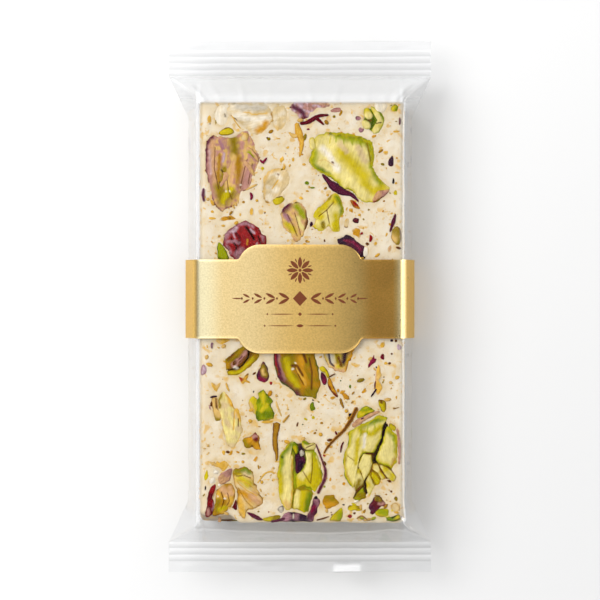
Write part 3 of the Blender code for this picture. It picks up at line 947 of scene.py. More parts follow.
    cut("lemon", "olive 0.3", """12.8,-35.7 13.7,-37.5 14.3,-39.1 14,-39.7 12.4,-41.1 11.7,-39
        12.2,-37""", crown=0.16, lift=0.16, grow=0.16, sharp=True, patches="pale", grain=75,
        strokes="""
        olive 0.7: 13.4,-39 12.6,-40.6"""),
    cut("olive", "umber 0.22", """14.2,-39.9 14.7,-41 15,-42.9 13.1,-43.8 11.7,-43 12.2,-41.9""",
        crown=0.14, sharp=True, grain=20, patches="lime", strokes="""
        ink 0.24: 11.4,-43.3 12.4,-42 14.1,-40.1;
        ink 0.3: 14.3,-40 14.6,-41.4 15.1,-42.8"""),
    cut("lemon", "olive 0.25", """14.6,-39.2 15.2,-38 15.7,-37.6 16.5,-39.4 16.9,-40.2
        16.4,-41.3 15.5,-42.9 15,-41.2""", crown=0.14, sharp=True, patches="pale", grain=115),
    cut("yellow", "bronze 0.3", """15.9,-36.7 17.2,-37.6 18.3,-39.2 17.4,-40.3 16.7,-39.6
        15.9,-38""", crown=0.16, sharp=True, grain=130, patches="lime"),
    cut("pale", "bronze 0.45", """16.3,-35.3 17.3,-35.1 18.1,-36.6 19.3,-38.4 18.5,-39.2
        17.4,-37.4 16.2,-36.4""", crown=0.16, sharp=True, grain=125, patches="lemon"),
    cut("pale", "lemon 0.8, lime 0.3", """19.4,-26.9 20.1,-27.2 20.9,-28.1 21.8,-28.9 22,-31.2
        22,-33.8 20.9,-36.2 19.4,-35.6 17.9,-35.2 17,-34.6 17.4,-32.4 18.2,-30.8 18.8,-28.9""",
        crown=0.3, grain=100, strokes="""
        green 1.1: 20,-27.6 21.4,-29.2;
        lime 0.8: 21.5,-29.4 21.7,-32.4;
        bronze 0.9: 21.4,-34.6 20.9,-35.8"""),
    cut("lemon", "umber 0.2", """17.9,-35.5 19.2,-35.8 20.6,-36.8 21.6,-38.2 20.9,-39.4
        19.5,-38.3 18.5,-37.1""", crown=0.2, lift=0.22, patches="pale", grain=130),
    cut("lemon", "umber 0.2", """20.2,-26 20.9,-26.4 21.6,-26.9 21.4,-28 20.6,-27.8 19.9,-27""",
        lift=0.16),
    # Broken bits below it.
    bit(11.3, -44.9, 1.6, 1.2, 20, "olive", "umber"),
    bit(13, -45.2, 2.2, 1.4, 10, "olive", "bronze", patches="yellow"),
    cut("lemon", "olive 0.3", """16.7,-45.7 18,-45.1 19.3,-45.1 20,-45.6 19.9,-46.8 18.7,-47.3
        17.5,-47.1 16.6,-46.6""", patches="lime", depth=2.0, lift=0.12, grain=20),
    cut("green", "leaf 0.3", """19,-47.2 19.3,-48 20.8,-48.2 22.7,-47.8 22.7,-47 22.2,-46.2
        21,-46.8 20,-47.1""", patches="lemon", depth=2.0, lift=0.1, grain=25, sharp=True,
        strokes="""
        ink 0.2 0.2: 20.6,-47.4 22.2,-46.4;
        ink 0.16 0.16: 21.2,-48 22.4,-47.4"""),
    cut("tan", "bronze 0.2", """20.4,-44.2 21.6,-44 22.4,-44.8 22.2,-46 21.2,-46.3 20.4,-45.6""",
        patches="toasted", lift=0.04),
    bit(12.2, -45.1, 3, 1.5, 15, "lemon", "olive", patches="olive", lift=0.1),
    bit(15.6, -47.6, 3, 0.8, 10, "bronze", "umber", patches="tan"),
    bit(12, -44.3, 1.6, 0.9, -20, "yellow", "umber"),
    bit(14.4, -45.9, 1.2, 0.9, 60, "bronze", "ink"),
    bit(13.6, -47.2, 2, 1, -10, "olive", "umber", patches="lime"),
    bit(16.4, -47.4, 1.8, 1.1, 30, "lime", "leaf"),
    bit(19.6, -47, 2.2, 1.3, -30, "yellow", "umber", patches="pale"),
    bit(20.9, -45.4, 1.9, 1, 50, "lemon", "olive"),
    bit(21.6, -43.2, 1.4, 1, 80, "olive", "umber"),
    bit(12.2, -46.4, 1, 0.8, 0, "umber", "ink"),
    bit(15.2, -44.2, 1.3, 0.7, 40, "olive", "umber"),
    # Olive slice and the green triangle right of the double pistachio.
    cut("olive", "bronze 0.3", """5.2,-42.5 5.6,-42.1 7.6,-42 7.9,-42.8 8.3,-43.3 9,-44.1
        7.7,-45 6.4,-45.5 5.6,-45.1 5,-44""", patches="bronze", grain=20, depth=2.0,
        strokes="""
        amber 0.8: 5.8,-44.6 7.8,-44.4"""),
    cut("yellow", "olive 0.25", """9,-45 7.9,-45.8 7,-46.8 6.6,-47.9 7.7,-48.1 9,-48.1
        9.7,-47.4 9.8,-46.1 9.5,-44.8""", patches="lime", sharp=True, grain=60),
    # Fan-shaped slice and the broken kernel at the lower left.
    cut("toasted", "bronze 0.5, umber 0.18", """-15,-36.6 -13.6,-36 -12.3,-35.7 -11.6,-36.1
        -10.6,-36.7 -10.3,-38 -10.2,-39.7 -9.5,-40.1 -9.2,-41.1 -8.9,-42.2 -8.2,-43.1
        -8.1,-43.8 -8.4,-44.5 -9.2,-45.1 -10.6,-45.5 -11.6,-45.8 -12.2,-46.8 -12.4,-47.7
        -13.2,-47.2 -13.7,-46.4 -14,-44.7 -14.2,-42.8 -14.3,-41.1 -14.8,-39.7 -15,-38.3""",
        patches="tan", crown=0.4, grain=-35, wrinkle=0.1, strokes="""
        green 1: -14.2,-36.6 -12,-36 -11.2,-36.8;
        olive 0.7: -14.8,-37.4 -13.4,-37.4;
        lemon 1.1: -13.4,-38.4 -11.4,-39.8;
        amber 1: -13.6,-41.6 -12,-42.2 -11,-43;
        honey 0.9: -13.8,-43.4 -13,-45.6 -12.4,-46.8;
        peach 1.1: -10.6,-42.4 -9.4,-43.8;
        honey 0.16 0.12: -14,-39.4 -11.8,-41.2 -9.6,-42.4;
        honey 0.16 0.1: -14,-38.8 -12,-39.4 -10.4,-40.6;
        umber 0.18 0.1: -14.2,-38 -12.4,-37.8 -11,-38.4;
        bronze 0.16 0.1: -13.8,-40.6 -12.2,-43.4 -10.6,-45"""),
    # The broken kernel: its ivory dots are painted glints.
    cut("bronze", "umber 0.2", """-17.7,-40 -17.2,-39.7 -15.4,-39.4 -14.7,-40.4 -14.3,-41.8
        -14.6,-43.2 -15,-44.5 -16.3,-45.8 -17.7,-46.7 -19.6,-46.8 -19.3,-45 -19.1,-42.5
        -18.7,-41""", patches="honey", crown=0.3, grain=50, wrinkle=0.14, strokes="""
        peach 0.9: -17.4,-40.8 -16.2,-42;
        peach 0.6: -15.6,-40.6 -15.2,-42;
        olive 0.7: -18.4,-43.4 -18.6,-45.6;
        umber 0.16 0.16: -17.6,-41.6 -17,-43.4 -17.6,-45.4;
        umber 0.14 0.14: -16.2,-41.8 -15.8,-43.6 -16.6,-45;
        ivory 0.2: -18.5,-42.4 -18.4,-42.5;
        ivory 0.22: -16.9,-43 -16.7,-43.1;
        yellow 0.6: -18,-45.4 -16.6,-45"""),
    bit(-21, -37.9, 2.8, 1.1, 85, "yellow", "olive"),
    # Olive sliver below the fan, at the bar's lower edge.
    cut("yellow", "olive 0.25", """-8.6,-47.6 -7.2,-47.1 -5.8,-46.7 -4.4,-46.6 -4.2,-47.3
        -5.2,-47.9 -7.2,-48.2""", patches="olive", depth=2.5, grain=10),
    # Brown and golden piece above the fan.
    cut("bronze", "umber 0.25", """-11.2,-29 -10,-28 -9.3,-28.8 -9,-29.5 -9.2,-30.5 -8.6,-32.2
        -9.8,-32.4 -10.6,-31.7 -11.7,-32 -12.5,-31.6 -13.2,-30 -13,-29.5 -12,-29.1""",
        patches="amber", grain=40, sharp=True, strokes="""
        olive 0.8: -12.6,-30.2 -11.8,-31.4;
        wine 0.8: -10,-28.8 -9.8,-29.8;
        pink 0.4: -10.4,-29.2 -9.8,-29;
        amber 0.6: -9.6,-31 -9,-32;
        umber 0.3: -10.8,-31.2 -10.6,-32"""),
    # Olive drop above the cracked pistachio, and small greens.
    cut("olive", "umber 0.25", """17.7,-20.8 17.5,-21.8 17.9,-22.8 18.6,-23.8 19,-23.9
        19.4,-23.1 19.4,-21.8 19,-21.1""", patches="yellow", depth=2.0, strokes="""
        umber 0.4: 18,-21.1 18.2,-21.5"""),
    bit(11.2, -18, 1.1, 0.8, 100, "green", "leaf"),
    bit(5.5, -40.3, 0.8, 0.7, 0, "lime", "green"),
    bit(-5.3, -16.2, 1.1, 0.45, 95, "olive"),
)

ALMONDS = (
    # Slice left of the middle.
    cut("toasted", "tan 0.2", """-7.9,23.2 -8.6,25.6 -8.4,28.4 -7.2,30.4 -5.2,31.2 -3.2,30.8
        -2,29.2 -2.2,27.4 -3.6,25.6 -5,23.8 -6.6,22.8""", crown=0.1, lift=0.04, grain=65,
        patches="nougat", strokes="""
        tan 0.8: -8.4,24.6 -8.4,28 -6.8,30.6 -4,31.2;
        bronze 0.3: -8.6,25.6 -8,23.6 -7,23;
        umber 0.26: -5.1,29.6 -4.9,29.5;
        honey 0.22 0.06: -4.9,28.3 -6.2,26.4"""),
    # Soft pale lumps.
    cut("toasted", "toasted 0.6", """-5.6,45.2 -6.5,43.4 -6.4,41 -5.4,39.3 -3.9,39.4 -3,41.2
        -2.6,43.6 -3.5,45.3""", crown=0.1, lift=0.0, depth=3.0, patches="nougat", strokes="""
        tan 0.9: -5.8,39.9 -4.2,39.3 -3.2,40.4"""),
    cut("nougat", "nougat 0.5", """-18.4,45 -19.4,43 -18.8,41 -17.2,40.4 -16,42 -16.2,44.2
        -17.2,45.3""", crown=0.24, depth=3.0, lift=0.0, patches="ivory", strokes="""
        ink 0.16 0.05: -16.9,43.1 -16.7,42.4"""),
    cut("nougat", "nougat 0.3", """16.8,45.6 16.9,43.6 18.4,43.2 19.5,44.2 19.4,45.6""",
        crown=0.24, depth=2.0, patches="ivory"),
    bit(14.7, 12.2, 3.3, 1.9, 90, "ivory", "tan", crown=0.2),
    bit(-18.9, -37.1, 1.9, 1.5, 20, "ivory", "smoke", crown=0.24),
    bit(-19.6, -38.9, 2, 1.8, 60, "ivory", crown=0.2),
    bit(-18, -40, 0.9, 1.1, 80, "ivory", crown=0.14),
    bit(12.7, -43.6, 1.4, 0.6, 10, "ivory", crown=0.1, lift=0.2),
    # Pale nut in its skin at the upper left. The ivory band across it is a painted highlight.
    cut("toasted", "tan 0.16", """-16.6,44.6 -15,45.9 -10.8,46 -7.6,45.6 -6.2,44 -5.6,42.4
        -6.6,40.6 -8.2,38.8 -9.6,38.2 -11.2,38.9 -12.6,40.2 -14.4,41.6 -16,43""", patches="nougat",
        crown=0.16, lift=0.02, grain=10, strokes="""
        smoke 0.9: -13.8,44.8 -10,44.4 -8,44.6;
        honey 0.14: -12.6,43.6 -9.6,43 -7.4,43.4;
        ivory 0.8: -14.6,42.8 -11,42 -8,42.2;
        amber 0.9: -9.4,39.4 -8.2,40 -7.6,41;
        bronze 0.3: -6.4,43.4 -5.9,42.2 -6.6,41;
        umber 0.14: -15.4,43 -14,41.2 -12.4,39.8"""),
    # Long pale sliver with a tan rim, and the shell beside it.
    cut("pale", "honey 0.28", """-17.5,-19 -17,-19 -16.3,-19.7 -15.6,-20.6 -15.1,-21.6
        -14.7,-22.7 -14,-22.9 -13.6,-23.7 -13.3,-24.7 -13.1,-26.1 -12.8,-28 -13.5,-29.6
        -14.2,-30.9 -14.7,-31.7 -15.5,-31.9 -16.3,-31.3 -16.7,-29.7 -17.2,-28.3 -17.5,-26.9
        -17.8,-25.5 -18,-24.1 -18.4,-23 -18.4,-20.6 -18,-19.5""", patches="toasted", crown=0.3,
        lift=0.12, grain=100, strokes="""
        olive 0.4: -17.6,-19.4 -18.1,-21 -18,-22.6;
        honey 0.6: -16.4,-19.9 -15,-21.9 -13.9,-23.6 -13.4,-25.4;
        amber 0.4: -15.4,-22.2 -14.6,-22.8;
        honey 0.22 0.16: -14.6,-23 -14.9,-27.6;
        umber 0.2 0.16: -13.8,-25.2 -13.8,-26.8;
        olive 0.28: -17.9,-25.4 -17,-29.6 -16.4,-31.2"""),
    cut("tan", "umber 0.28", """-19.7,-20.4 -18.5,-20.3 -18.3,-22.8 -17.3,-24.4 -17.8,-25.8
        -18.9,-25.8 -19.5,-24.1 -19.8,-22.1""", patches="olive", grain=95, wrinkle=0.08,
        strokes="""
        umber 0.3 0.2: -18.8,-20.6 -18.7,-22.6"""),
)

FRUIT = (
    # Dark wrinkled fruit at the sleeve's upper left. Its mauve and lilac strokes are painted
    # highlights of its glossy skin, and the ink in its folds painted shade.
    cut("crimson", "wine 0.35", """-12.7,19.4 -13.5,19 -15.1,18 -16.7,16.7 -17.4,14.9
        -17.2,13.9 -16.2,12.4 -15.4,10.9 -13,9.6 -9,10.4 -7.6,12.4 -7.4,14 -7.5,15.4 -8.4,16.2
        -9.1,17.6 -10.4,18.5 -11.8,19.3""", patches="crimson", crown=0.45, grain=130, wrinkle=0.2,
        strokes="""
        ink 0.4 0.4: -12,17.7 -11,16.4 -10.3,15;
        wine 0.5 0.25: -14.6,17 -13.4,15 -13.6,13.2;
        ink 0.3 0.25: -15.4,15.2 -14.2,13.4 -14.4,11.6;
        ink 0.24 0.2: -9.4,15.8 -8.6,13.6 -8.8,11.8;
        crimson 0.7: -12.6,14.6 -11.8,12.4;
        amber 0.24: -11.9,14.9 -11.7,13.8;
        mauve 0.9: -14.4,18.2 -15.8,17 -17,15.4;
        lilac 0.5: -14.2,17.6 -15.2,16.8;
        mauve 0.9: -13.2,12.4 -14.2,11.6 -13.4,10.6;
        mauve 0.45: -16.4,14.4 -14.8,14.6 -13.6,14.2;
        mauve 0.5: -13.2,18.6 -11.6,18.6 -10.4,17.8;
        lilac 0.26: -11,17.2 -10.2,16.4;
        mauve 0.6: -16.4,13.4 -15.6,12.2;
        lilac 0.24: -15,16.4 -14.6,15.4;
        lilac 0.3: -9.6,14 -9.2,12.6;
        mauve 0.5: -8.4,15.6 -8.2,14.6"""),
    # Berry at the bar's upper end.
    cut("lilac", "pink 0.3", """-2.4,45.4 -1,46 2,46.1 5.4,46 8.2,45.2 6.6,44.5 4.6,44.7
        3.4,43.9 2.2,43.3 1.8,42.2 0.8,41.6 -0.3,41.9 -0.9,43.2 -2.2,43.9""", patches="pink",
        patch_size=0.9, lift=0.02, crown=0.12, wrinkle=0.16, sharp=True, strokes="""
        plum 0.6: -1.4,44.8 0.6,43.4 1.2,42.2;
        wine 0.4: 0.4,42 1.4,42;
        peach 0.5: 3,45.6 6.6,45.4"""),
    # Berry that runs under the sleeve's upper edge.
    cut("violet", "ink 0.3", """8.2,14.8 9.2,15.6 10.6,16.3 12,15.4 13.4,14.2 14.8,13.2
        14.4,10.8 12.4,10.4 12.2,12.4 10.8,13.4 9.4,12.8""", patches="plum", crown=0.3,
        wrinkle=0.12, strokes="""
        magenta 0.35: 10,14.8 12,14.4 13.4,12.8"""),
    bit(12.6, 19.3, 1.9, 1.6, 30, "wine", "violet", crown=0.16),
    bit(-2.2, 44.6, 0.9, 0.8, 0, "wine"),
    bit(13.8, 16.4, 0.9, 0.7, 40, "crimson", lift=0.2),
    bit(20.4, 32.6, 2.6, 1.5, 80, "violet", "plum", crown=0.2),
    bit(-6.5, -17.1, 1.1, 0.8, 80, "crimson"),
    bit(11.2, -47, 1.1, 1, 0, "crimson"),
    bit(20, -12.7, 0.8, 0.7, 0, "umber", "wine"),
    bit(20.5, -7.6, 1, 0.9, 0, "violet"),
    bit(11.3, -24.3, 1, 0.9, 0, "ink", "violet"),
    bit(2.9, -21, 0.8, 0.5, -45, "ink"),
    bit(-10.4, -19.1, 0.8, 0.45, 60, "ink", "plum"),
    bit(3.6, -42.9, 1.3, 0.95, 80, "ink", lift=0.16),
    # Wine skin below the cracked pistachio.
    cut("wine", "violet 0.25", """14.9,-45.2 15.5,-44.3 16.3,-43.5 16.6,-42.3 17.2,-42
        17.9,-42.1 18.6,-43.2 19.5,-44 20.3,-45 19.4,-44.9 18.6,-44.7 17.8,-45.5 17.1,-46.2
        16.2,-46.9 15.4,-46.6 15.7,-45.8""", patches="plum", crown=0.2, wrinkle=0.12, sharp=True,
        strokes="""
        pink 0.5: 17.8,-44.2 18.8,-43.9;
        olive 0.7: 17.2,-42.9 17.8,-43.2"""),
)

SKINS = (
    # Under the large upper right pistachio.
    ribbon("plum", "4.9,29.7,0.3 6.2,28.3,1.2 7.6,26.9,1.9 9.6,25.7,1.6 11.6,25,1 "
           "13.2,23.4,0.3", lift=0.02, edge="violet"),
    cut("peach", "umber 0.25", """17.2,26 18.8,26.2 20.2,26.3 19.5,25.1 17.8,23.9 16.4,23.2
        16,24""", patches="pink", lift=0.3, depth=1.0, strokes="""
        crimson 0.28: 14.6,23.3 16.6,23.3 18.2,24.1"""),
    # Beside the small kernels above the sleeve.
    bit(2.5, 18.4, 1.6, 0.9, 70, "violet", "pink", lift=0.2),
    ribbon("plum", "-21.6,26.6,0.5 -21.7,25,0.9 -21.5,23.4,0.4", edge="lilac"),
    ribbon("plum", "21.4,20.8,0.3 20.9,19,0.9 20.1,16.6,0.3"),
    ribbon("ink", "20.9,28.8,0.2 20.9,28,0.45 20.8,27.4,0.2"),
    ribbon("wine", "-0.1,41,0.6 1.5,41.2,0.9 2.8,41.9,1 4.3,42.7,0.8 6.5,42.9,0.4", edge="plum"),
    ribbon("wine", "3.6,42.2,0.7 4.6,41.4,0.7 5.4,40.6,0.3"),
    bit(13.1, 42.2, 1.8, 1.3, 10, "mauve", "plum"),
    bit(13.7, 39.6, 2.2, 1.5, 30, "mauve", "plum"),
    ribbon("wine", "22.3,42.4,0.3 22.4,41.5,0.5 22.3,40.6,0.3"),
    cut("crimson", "umber 0.25", """11,23.9 11.9,24 13,22.9 13.7,21.8 13,21.6 11.9,22.4""",
        patches="amber", depth=1.0),
    ribbon("crimson", "15.6,16.1,0.3 15.9,15.5,0.7 15.8,14.9,0.6 15.6,14.4,0.25"),
    # Left edge, below the sleeve.
    ribbon("plum", "-19.6,-8,0.5 -19.8,-8.8,0.6 -19.7,-9.5,0.25", edge="lilac"),
    bit(-21.5, -14.3, 2.4, 1.7, 95, "lilac", "mauve", crown=0.14),
    ribbon("violet", "-20.2,-20.4,0.3 -19.5,-20.2,0.5 -18.5,-20.1,0.3"),
    bit(-20, -22.8, 1.6, 1, 120, "mauve", "pink"),
    bit(-14.3, -12.3, 2.6, 1.3, 45, "pink", "plum", lift=0.2, patches="umber", crown=0.2),
    # Skin along the double pistachio and under it.
    cut("violet", "ink 0.25", """-1.1,-33 -0.3,-32.6 0.2,-33.3 1,-33.4 1.3,-34.2 1.6,-35.2
        1,-34.8 0.6,-35.8 0.2,-36.9 -0.4,-37.7 -0.9,-37.5 -1.2,-36.4 -1.1,-34.6""", patches="plum",
        lift=0.0, crown=0.1, sharp=True, wrinkle=0.1),
    cut("smoke", "", """0.3,-32 -0.1,-32.7 0.2,-33.6 1.1,-33 0.8,-32.4""", lift=0.2, depth=1.0),
    ribbon("plum", "3.5,-30.7,0.3 4.4,-33,0.45 5.2,-35.2,0.5 5.7,-36.9,0.7 5.5,-38.6,0.8 "
           "4.7,-40.3,0.8 3.9,-42,0.7", edge="pink"),
    cut("plum", "violet 0.25", """3,-42.7 4.3,-42.9 4.6,-44 4.1,-44.9 3.9,-46 3.2,-47.2 3,-48
        2,-47.7 1.4,-46.8 2.1,-45.7 2.7,-44.2""", patches="mauve", depth=2.5, wrinkle=0.08,
        strokes="""
        magenta 0.5: 3.2,-44.8 2.6,-45.8"""),
    cut("violet", "ink 0.25", """-3.3,-46 -1.5,-45.9 0.6,-46.4 1.6,-46.9 2.8,-48.1 0.2,-48.2
        -3.6,-48.2 -4.8,-48""", patches="mauve", depth=2.5, lift=0.02, wrinkle=0.08, grain=5),
    bit(-4.3, -45.4, 2, 1.6, 100, "smoke", "ink", crown=0.2),
    bit(-1.5, -47.1, 1.6, 0.7, 95, "smoke", "olive", lift=0.18),
    ribbon("plum", "-6.6,-48.2,0.4 -5,-47.9,0.7 -3.2,-47.4,0.5"),
    # Skin over the cap of the cracked pistachio, and down its right side.
    ribbon("peach", "11.7,-26.9,0.6 12.9,-26,1.3 14.6,-24.95,1 16.2,-24.1,0.9 17.9,-23.5,0.3",
           lift=0.06, edge="pink"),
    bit(14, -25.1, 1.5, 0.8, 25, "plum", "violet", lift=0.22),
    ribbon("pink", "21.7,-27.2,0.4 22.1,-29.6,0.7 22.3,-32.4,0.7 22.2,-35.4,0.4", lift=0.06,
           edge="peach"),
    bit(20.1, -39.1, 1.9, 0.8, -10, "umber", "wine"),
    ribbon("wine", "9.8,-30.2,0.25 9.3,-31.3,0.45 9.1,-32.8,0.25"),
    ribbon("violet", "15.8,-20.3,0.2 16.4,-19.5,0.4 17.3,-18.3,0.35"),
    bit(17.1, -13.6, 1.1, 0.65, 95, "violet"),
    bit(16.7, -15.3, 0.7, 0.5, 60, "plum"),
    ribbon("plum", "16.9,-16.6,0.2 16.75,-17.6,0.3 16.8,-18.6,0.2"),
    bit(22.1, -9.2, 2.2, 1.2, 100, "lilac", "plum"),
    bit(22.1, -46.9, 0.6, 2, 60, "smoke", "umber"),
    # Lower left corner.
    cut("pink", "mauve 0.3", """-15.2,-36.1 -17.3,-37 -18.4,-38.1 -18.4,-38.7 -17.9,-40.1
        -16.3,-39.4 -15.6,-38.7 -15.3,-37.4""", patches="peach", lift=0.3, depth=1.5, grain=30,
        wrinkle=0.08),
    cut("crimson", "wine 0.35", """-19,-39.6 -19.9,-40.4 -20.5,-41.4 -20.8,-43.3 -20.9,-44.7
        -21.2,-46.1 -21,-47.2 -20,-46.9 -19.3,-45.8 -19.2,-44 -19.6,-42.5 -19.1,-41.1
        -18.8,-40.4""", patches="wine", lift=0.2, crown=0.24, grain=85, wrinkle=0.08,
        strokes="""
        pink 0.4: -20.4,-45.4 -20.6,-46.6;
        mauve 0.3: -19.4,-44 -19.5,-45.6"""),
    cut("wine", "violet 0.2", """-14.3,-43 -14.9,-44.2 -15.2,-45.2 -14.2,-45.8 -14,-44.7""",
        lift=0.1),
    ribbon("plum", "-11.9,-46.1,0.2 -10.6,-46.8,0.9 -9.2,-47.5,0.8 -8.3,-47.8,0.3", edge="wine"),
    ribbon("ink", "-21.2,-40.1,0.15 -21.2,-40.7,0.3 -21.3,-41.2,0.15"),
)

PETALS = (
    ribbon("magenta", "-9,33,0.3 -8.3,32.3,0.7 -7.4,33.4,0.3", lift=0.12),
    bit(7.8, 43.9, 3.3, 1.4, 15, "pink", "magenta"),
    bit(1.8, 39.7, 1, 0.6, 0, "magenta"),
    ribbon("magenta", "-11.2,25.6,0.3 -10.8,24.7,0.7 -11.1,23.8,0.3"),
    cut("magenta", "violet 0.25", """4.8,-14.7 5.5,-15.2 6,-16 6,-17.1 5.4,-17.7 4.8,-16.9
        4.6,-15.8""", patches="plum", lift=0.2, depth=1.0, wrinkle=0.08),
    cut("magenta", "wine 0.2", """16.6,-10.6 16.8,-11.5 17.5,-11.6 17.1,-12.3 16.3,-13
        15.7,-13.5 15.3,-13.9 15.1,-13.2 15.7,-12.1 16.3,-11.3""", depth=1.0, wrinkle=0.06,
        sharp=True),
    cut("wine", "magenta 0.2", """18.3,-10.6 18.8,-10.5 18.9,-11.3 18.9,-12 18.3,-11.9
        17.9,-11.3""", depth=1.0),
    ribbon("wine", "7.9,-27.9,0.2 8.1,-28.4,0.45 8.3,-28.8,0.2"),
    bit(5.4, -33.4, 0.9, 0.8, 0, "crimson", "pink"),
    bit(-7, -46, 0.5, 0.4, 0, "crimson"),
)

VEINS = (
    ribbon("honey", "-15.9,44.1,0.3 -14.6,41.6,0.35 -13.1,39.6,0.25", lift=0.02),
    ribbon("honey", "-0.8,41.2,0.8 -0.3,39.1,1.5 0.3,37.2,1.2 0.3,35.5,0.8 -0.1,33.5,0.4",
           edge="amber"),
    ribbon("tan", "-0.4,38.4,0.6 -1.4,38.2,0.9 -2.6,39.1,0.4", edge="honey"),
    ribbon("tan", "-12.3,26,0.3 -10.8,26.8,0.5 -9.5,27.4,0.3"),
    ribbon("bronze", "-5.2,-25.9,1.6 -5.3,-27,1.5 -5.6,-29.5,1.2 -5.5,-31.5,1.1 -5.2,-33.3,0.8 "
           "-5.3,-34.7,0.3", lift=0.14, edge="umber"),
    ribbon("umber", "12.8,-22.5,0.9 11.6,-25,1 9.9,-27.6,0.8 8.3,-29.2,0.7 7,-30.5,0.7 "
           "5.9,-31.9,0.5 5.3,-33,0.3", edge="amber"),
    ribbon("umber", "6,-30,0.3 6.6,-29.9,0.6 7.3,-29.8,0.3"),
    bit(6.9, -31.4, 1.1, 0.8, 20, "amber"),
    ribbon("honey", "-9.6,-39.7,0.3 -8.6,-38.3,0.4 -7.8,-37.4,0.45 -6.6,-37,0.45 "
           "-5.4,-37.5,0.25", lift=0.03, edge="tan"),
    ribbon("tan", "-5.4,-21.1,0.3 -5,-22.5,0.5 -4.1,-24.7,0.3", lift=0.04),
    ribbon("bronze", "-3.9,-26.1,0.5 -3.1,-25.1,0.55 -2.3,-24.2,0.3"),
    ribbon("bronze", "9,-20.5,0.4 9.3,-21.6,0.55 9.8,-22.8,0.3", edge="umber"),
    ribbon("honey", "-16.6,-17,0.3 -16.3,-18,0.5 -15.8,-19.1,0.3"),
    ribbon("umber", "20.7,-22.8,0.6 21.4,-22.8,0.25 22.3,-22.5,0.15", edge="tan"),
    ribbon("umber", "6.4,-15.9,0.3 7.2,-15.4,0.3 8,-15,0.2", lift=0.16),
    ribbon("umber", "3.6,-47.9,0.3 5.4,-47.4,0.35 6.6,-47,0.2"),
    ribbon("umber", "12.6,-47.6,0.3 13.8,-46.9,0.4 15.2,-47.9,0.3", edge="tan"),
    # Tan strip with dark specks right of the sleeve's lower edge.
    cut("tan", "peach 0.3", """17.6,-13 18.2,-14.6 18.3,-15.4 17.7,-16.2 17.6,-17.3 18.3,-17.7
        18.5,-18.7 17.8,-19.6 17.1,-19.6 16.8,-18 16.8,-16.2 17,-14.9 17.1,-14""", patches="honey",
        depth=1.0, wrinkle=0.08),
    # Heart-shaped crumb and the two-toned one.
    cut("honey", "", """-20.1,-17 -19.7,-16.9 -18.9,-17.5 -18.7,-17.7 -18,-17 -17.6,-16.9
        -17.8,-17.7 -18.4,-18.7 -18.7,-19.4 -19.2,-18.8 -19.9,-17.7""", patches="tan", sharp=True,
        depth=1.0),
    cut("honey", "", """-13.7,-15.7 -13.3,-16.2 -12.6,-15.8 -11.8,-14.9 -11.4,-14.8 -11.6,-16
        -12,-16.6 -11.2,-16.8 -11.1,-17.3 -12.3,-17.1 -12.9,-17.5 -13.4,-17""", patches="amber",
        depth=1.0, strokes="""
        crimson 0.6: -13.5,-16 -13.1,-16.3;
        umber 0.4: -12,-15.2 -11.7,-15.1"""),
    cut("tan", "honey 0.3", """-20.7,-34.6 -20,-34.9 -19.6,-35.3 -18.6,-34.4 -18,-34.9
        -16.9,-34.4 -16.3,-34.9 -15.9,-35.7 -16.4,-36.6 -17.3,-37 -18,-36.3 -19.1,-35.9
        -19.8,-35.5""", patches="honey", depth=1.5),
    cut("honey", "", """-19.3,-7.4 -17.4,-7 -15.2,-7.4 -16.4,-8.2 -17.7,-8.6 -18.6,-8.1""",
        patches="tan", depth=1.0, lift=0.0),
    bit(0.2, -20.7, 1.4, 0.9, 0, "tan", "peach"),
    bit(-7.4, -25.8, 3.2, 0.8, 5, "honey", "tan", lift=0.1),
    bit(-15.4, -32.6, 2.2, 1, 75, "amber", "honey"),
    bit(1.3, -20.5, 0.9, 0.35, 10, "ink"),
    bit(-19.3, -36, 0.6, 0.5, 0, "ink"),
)

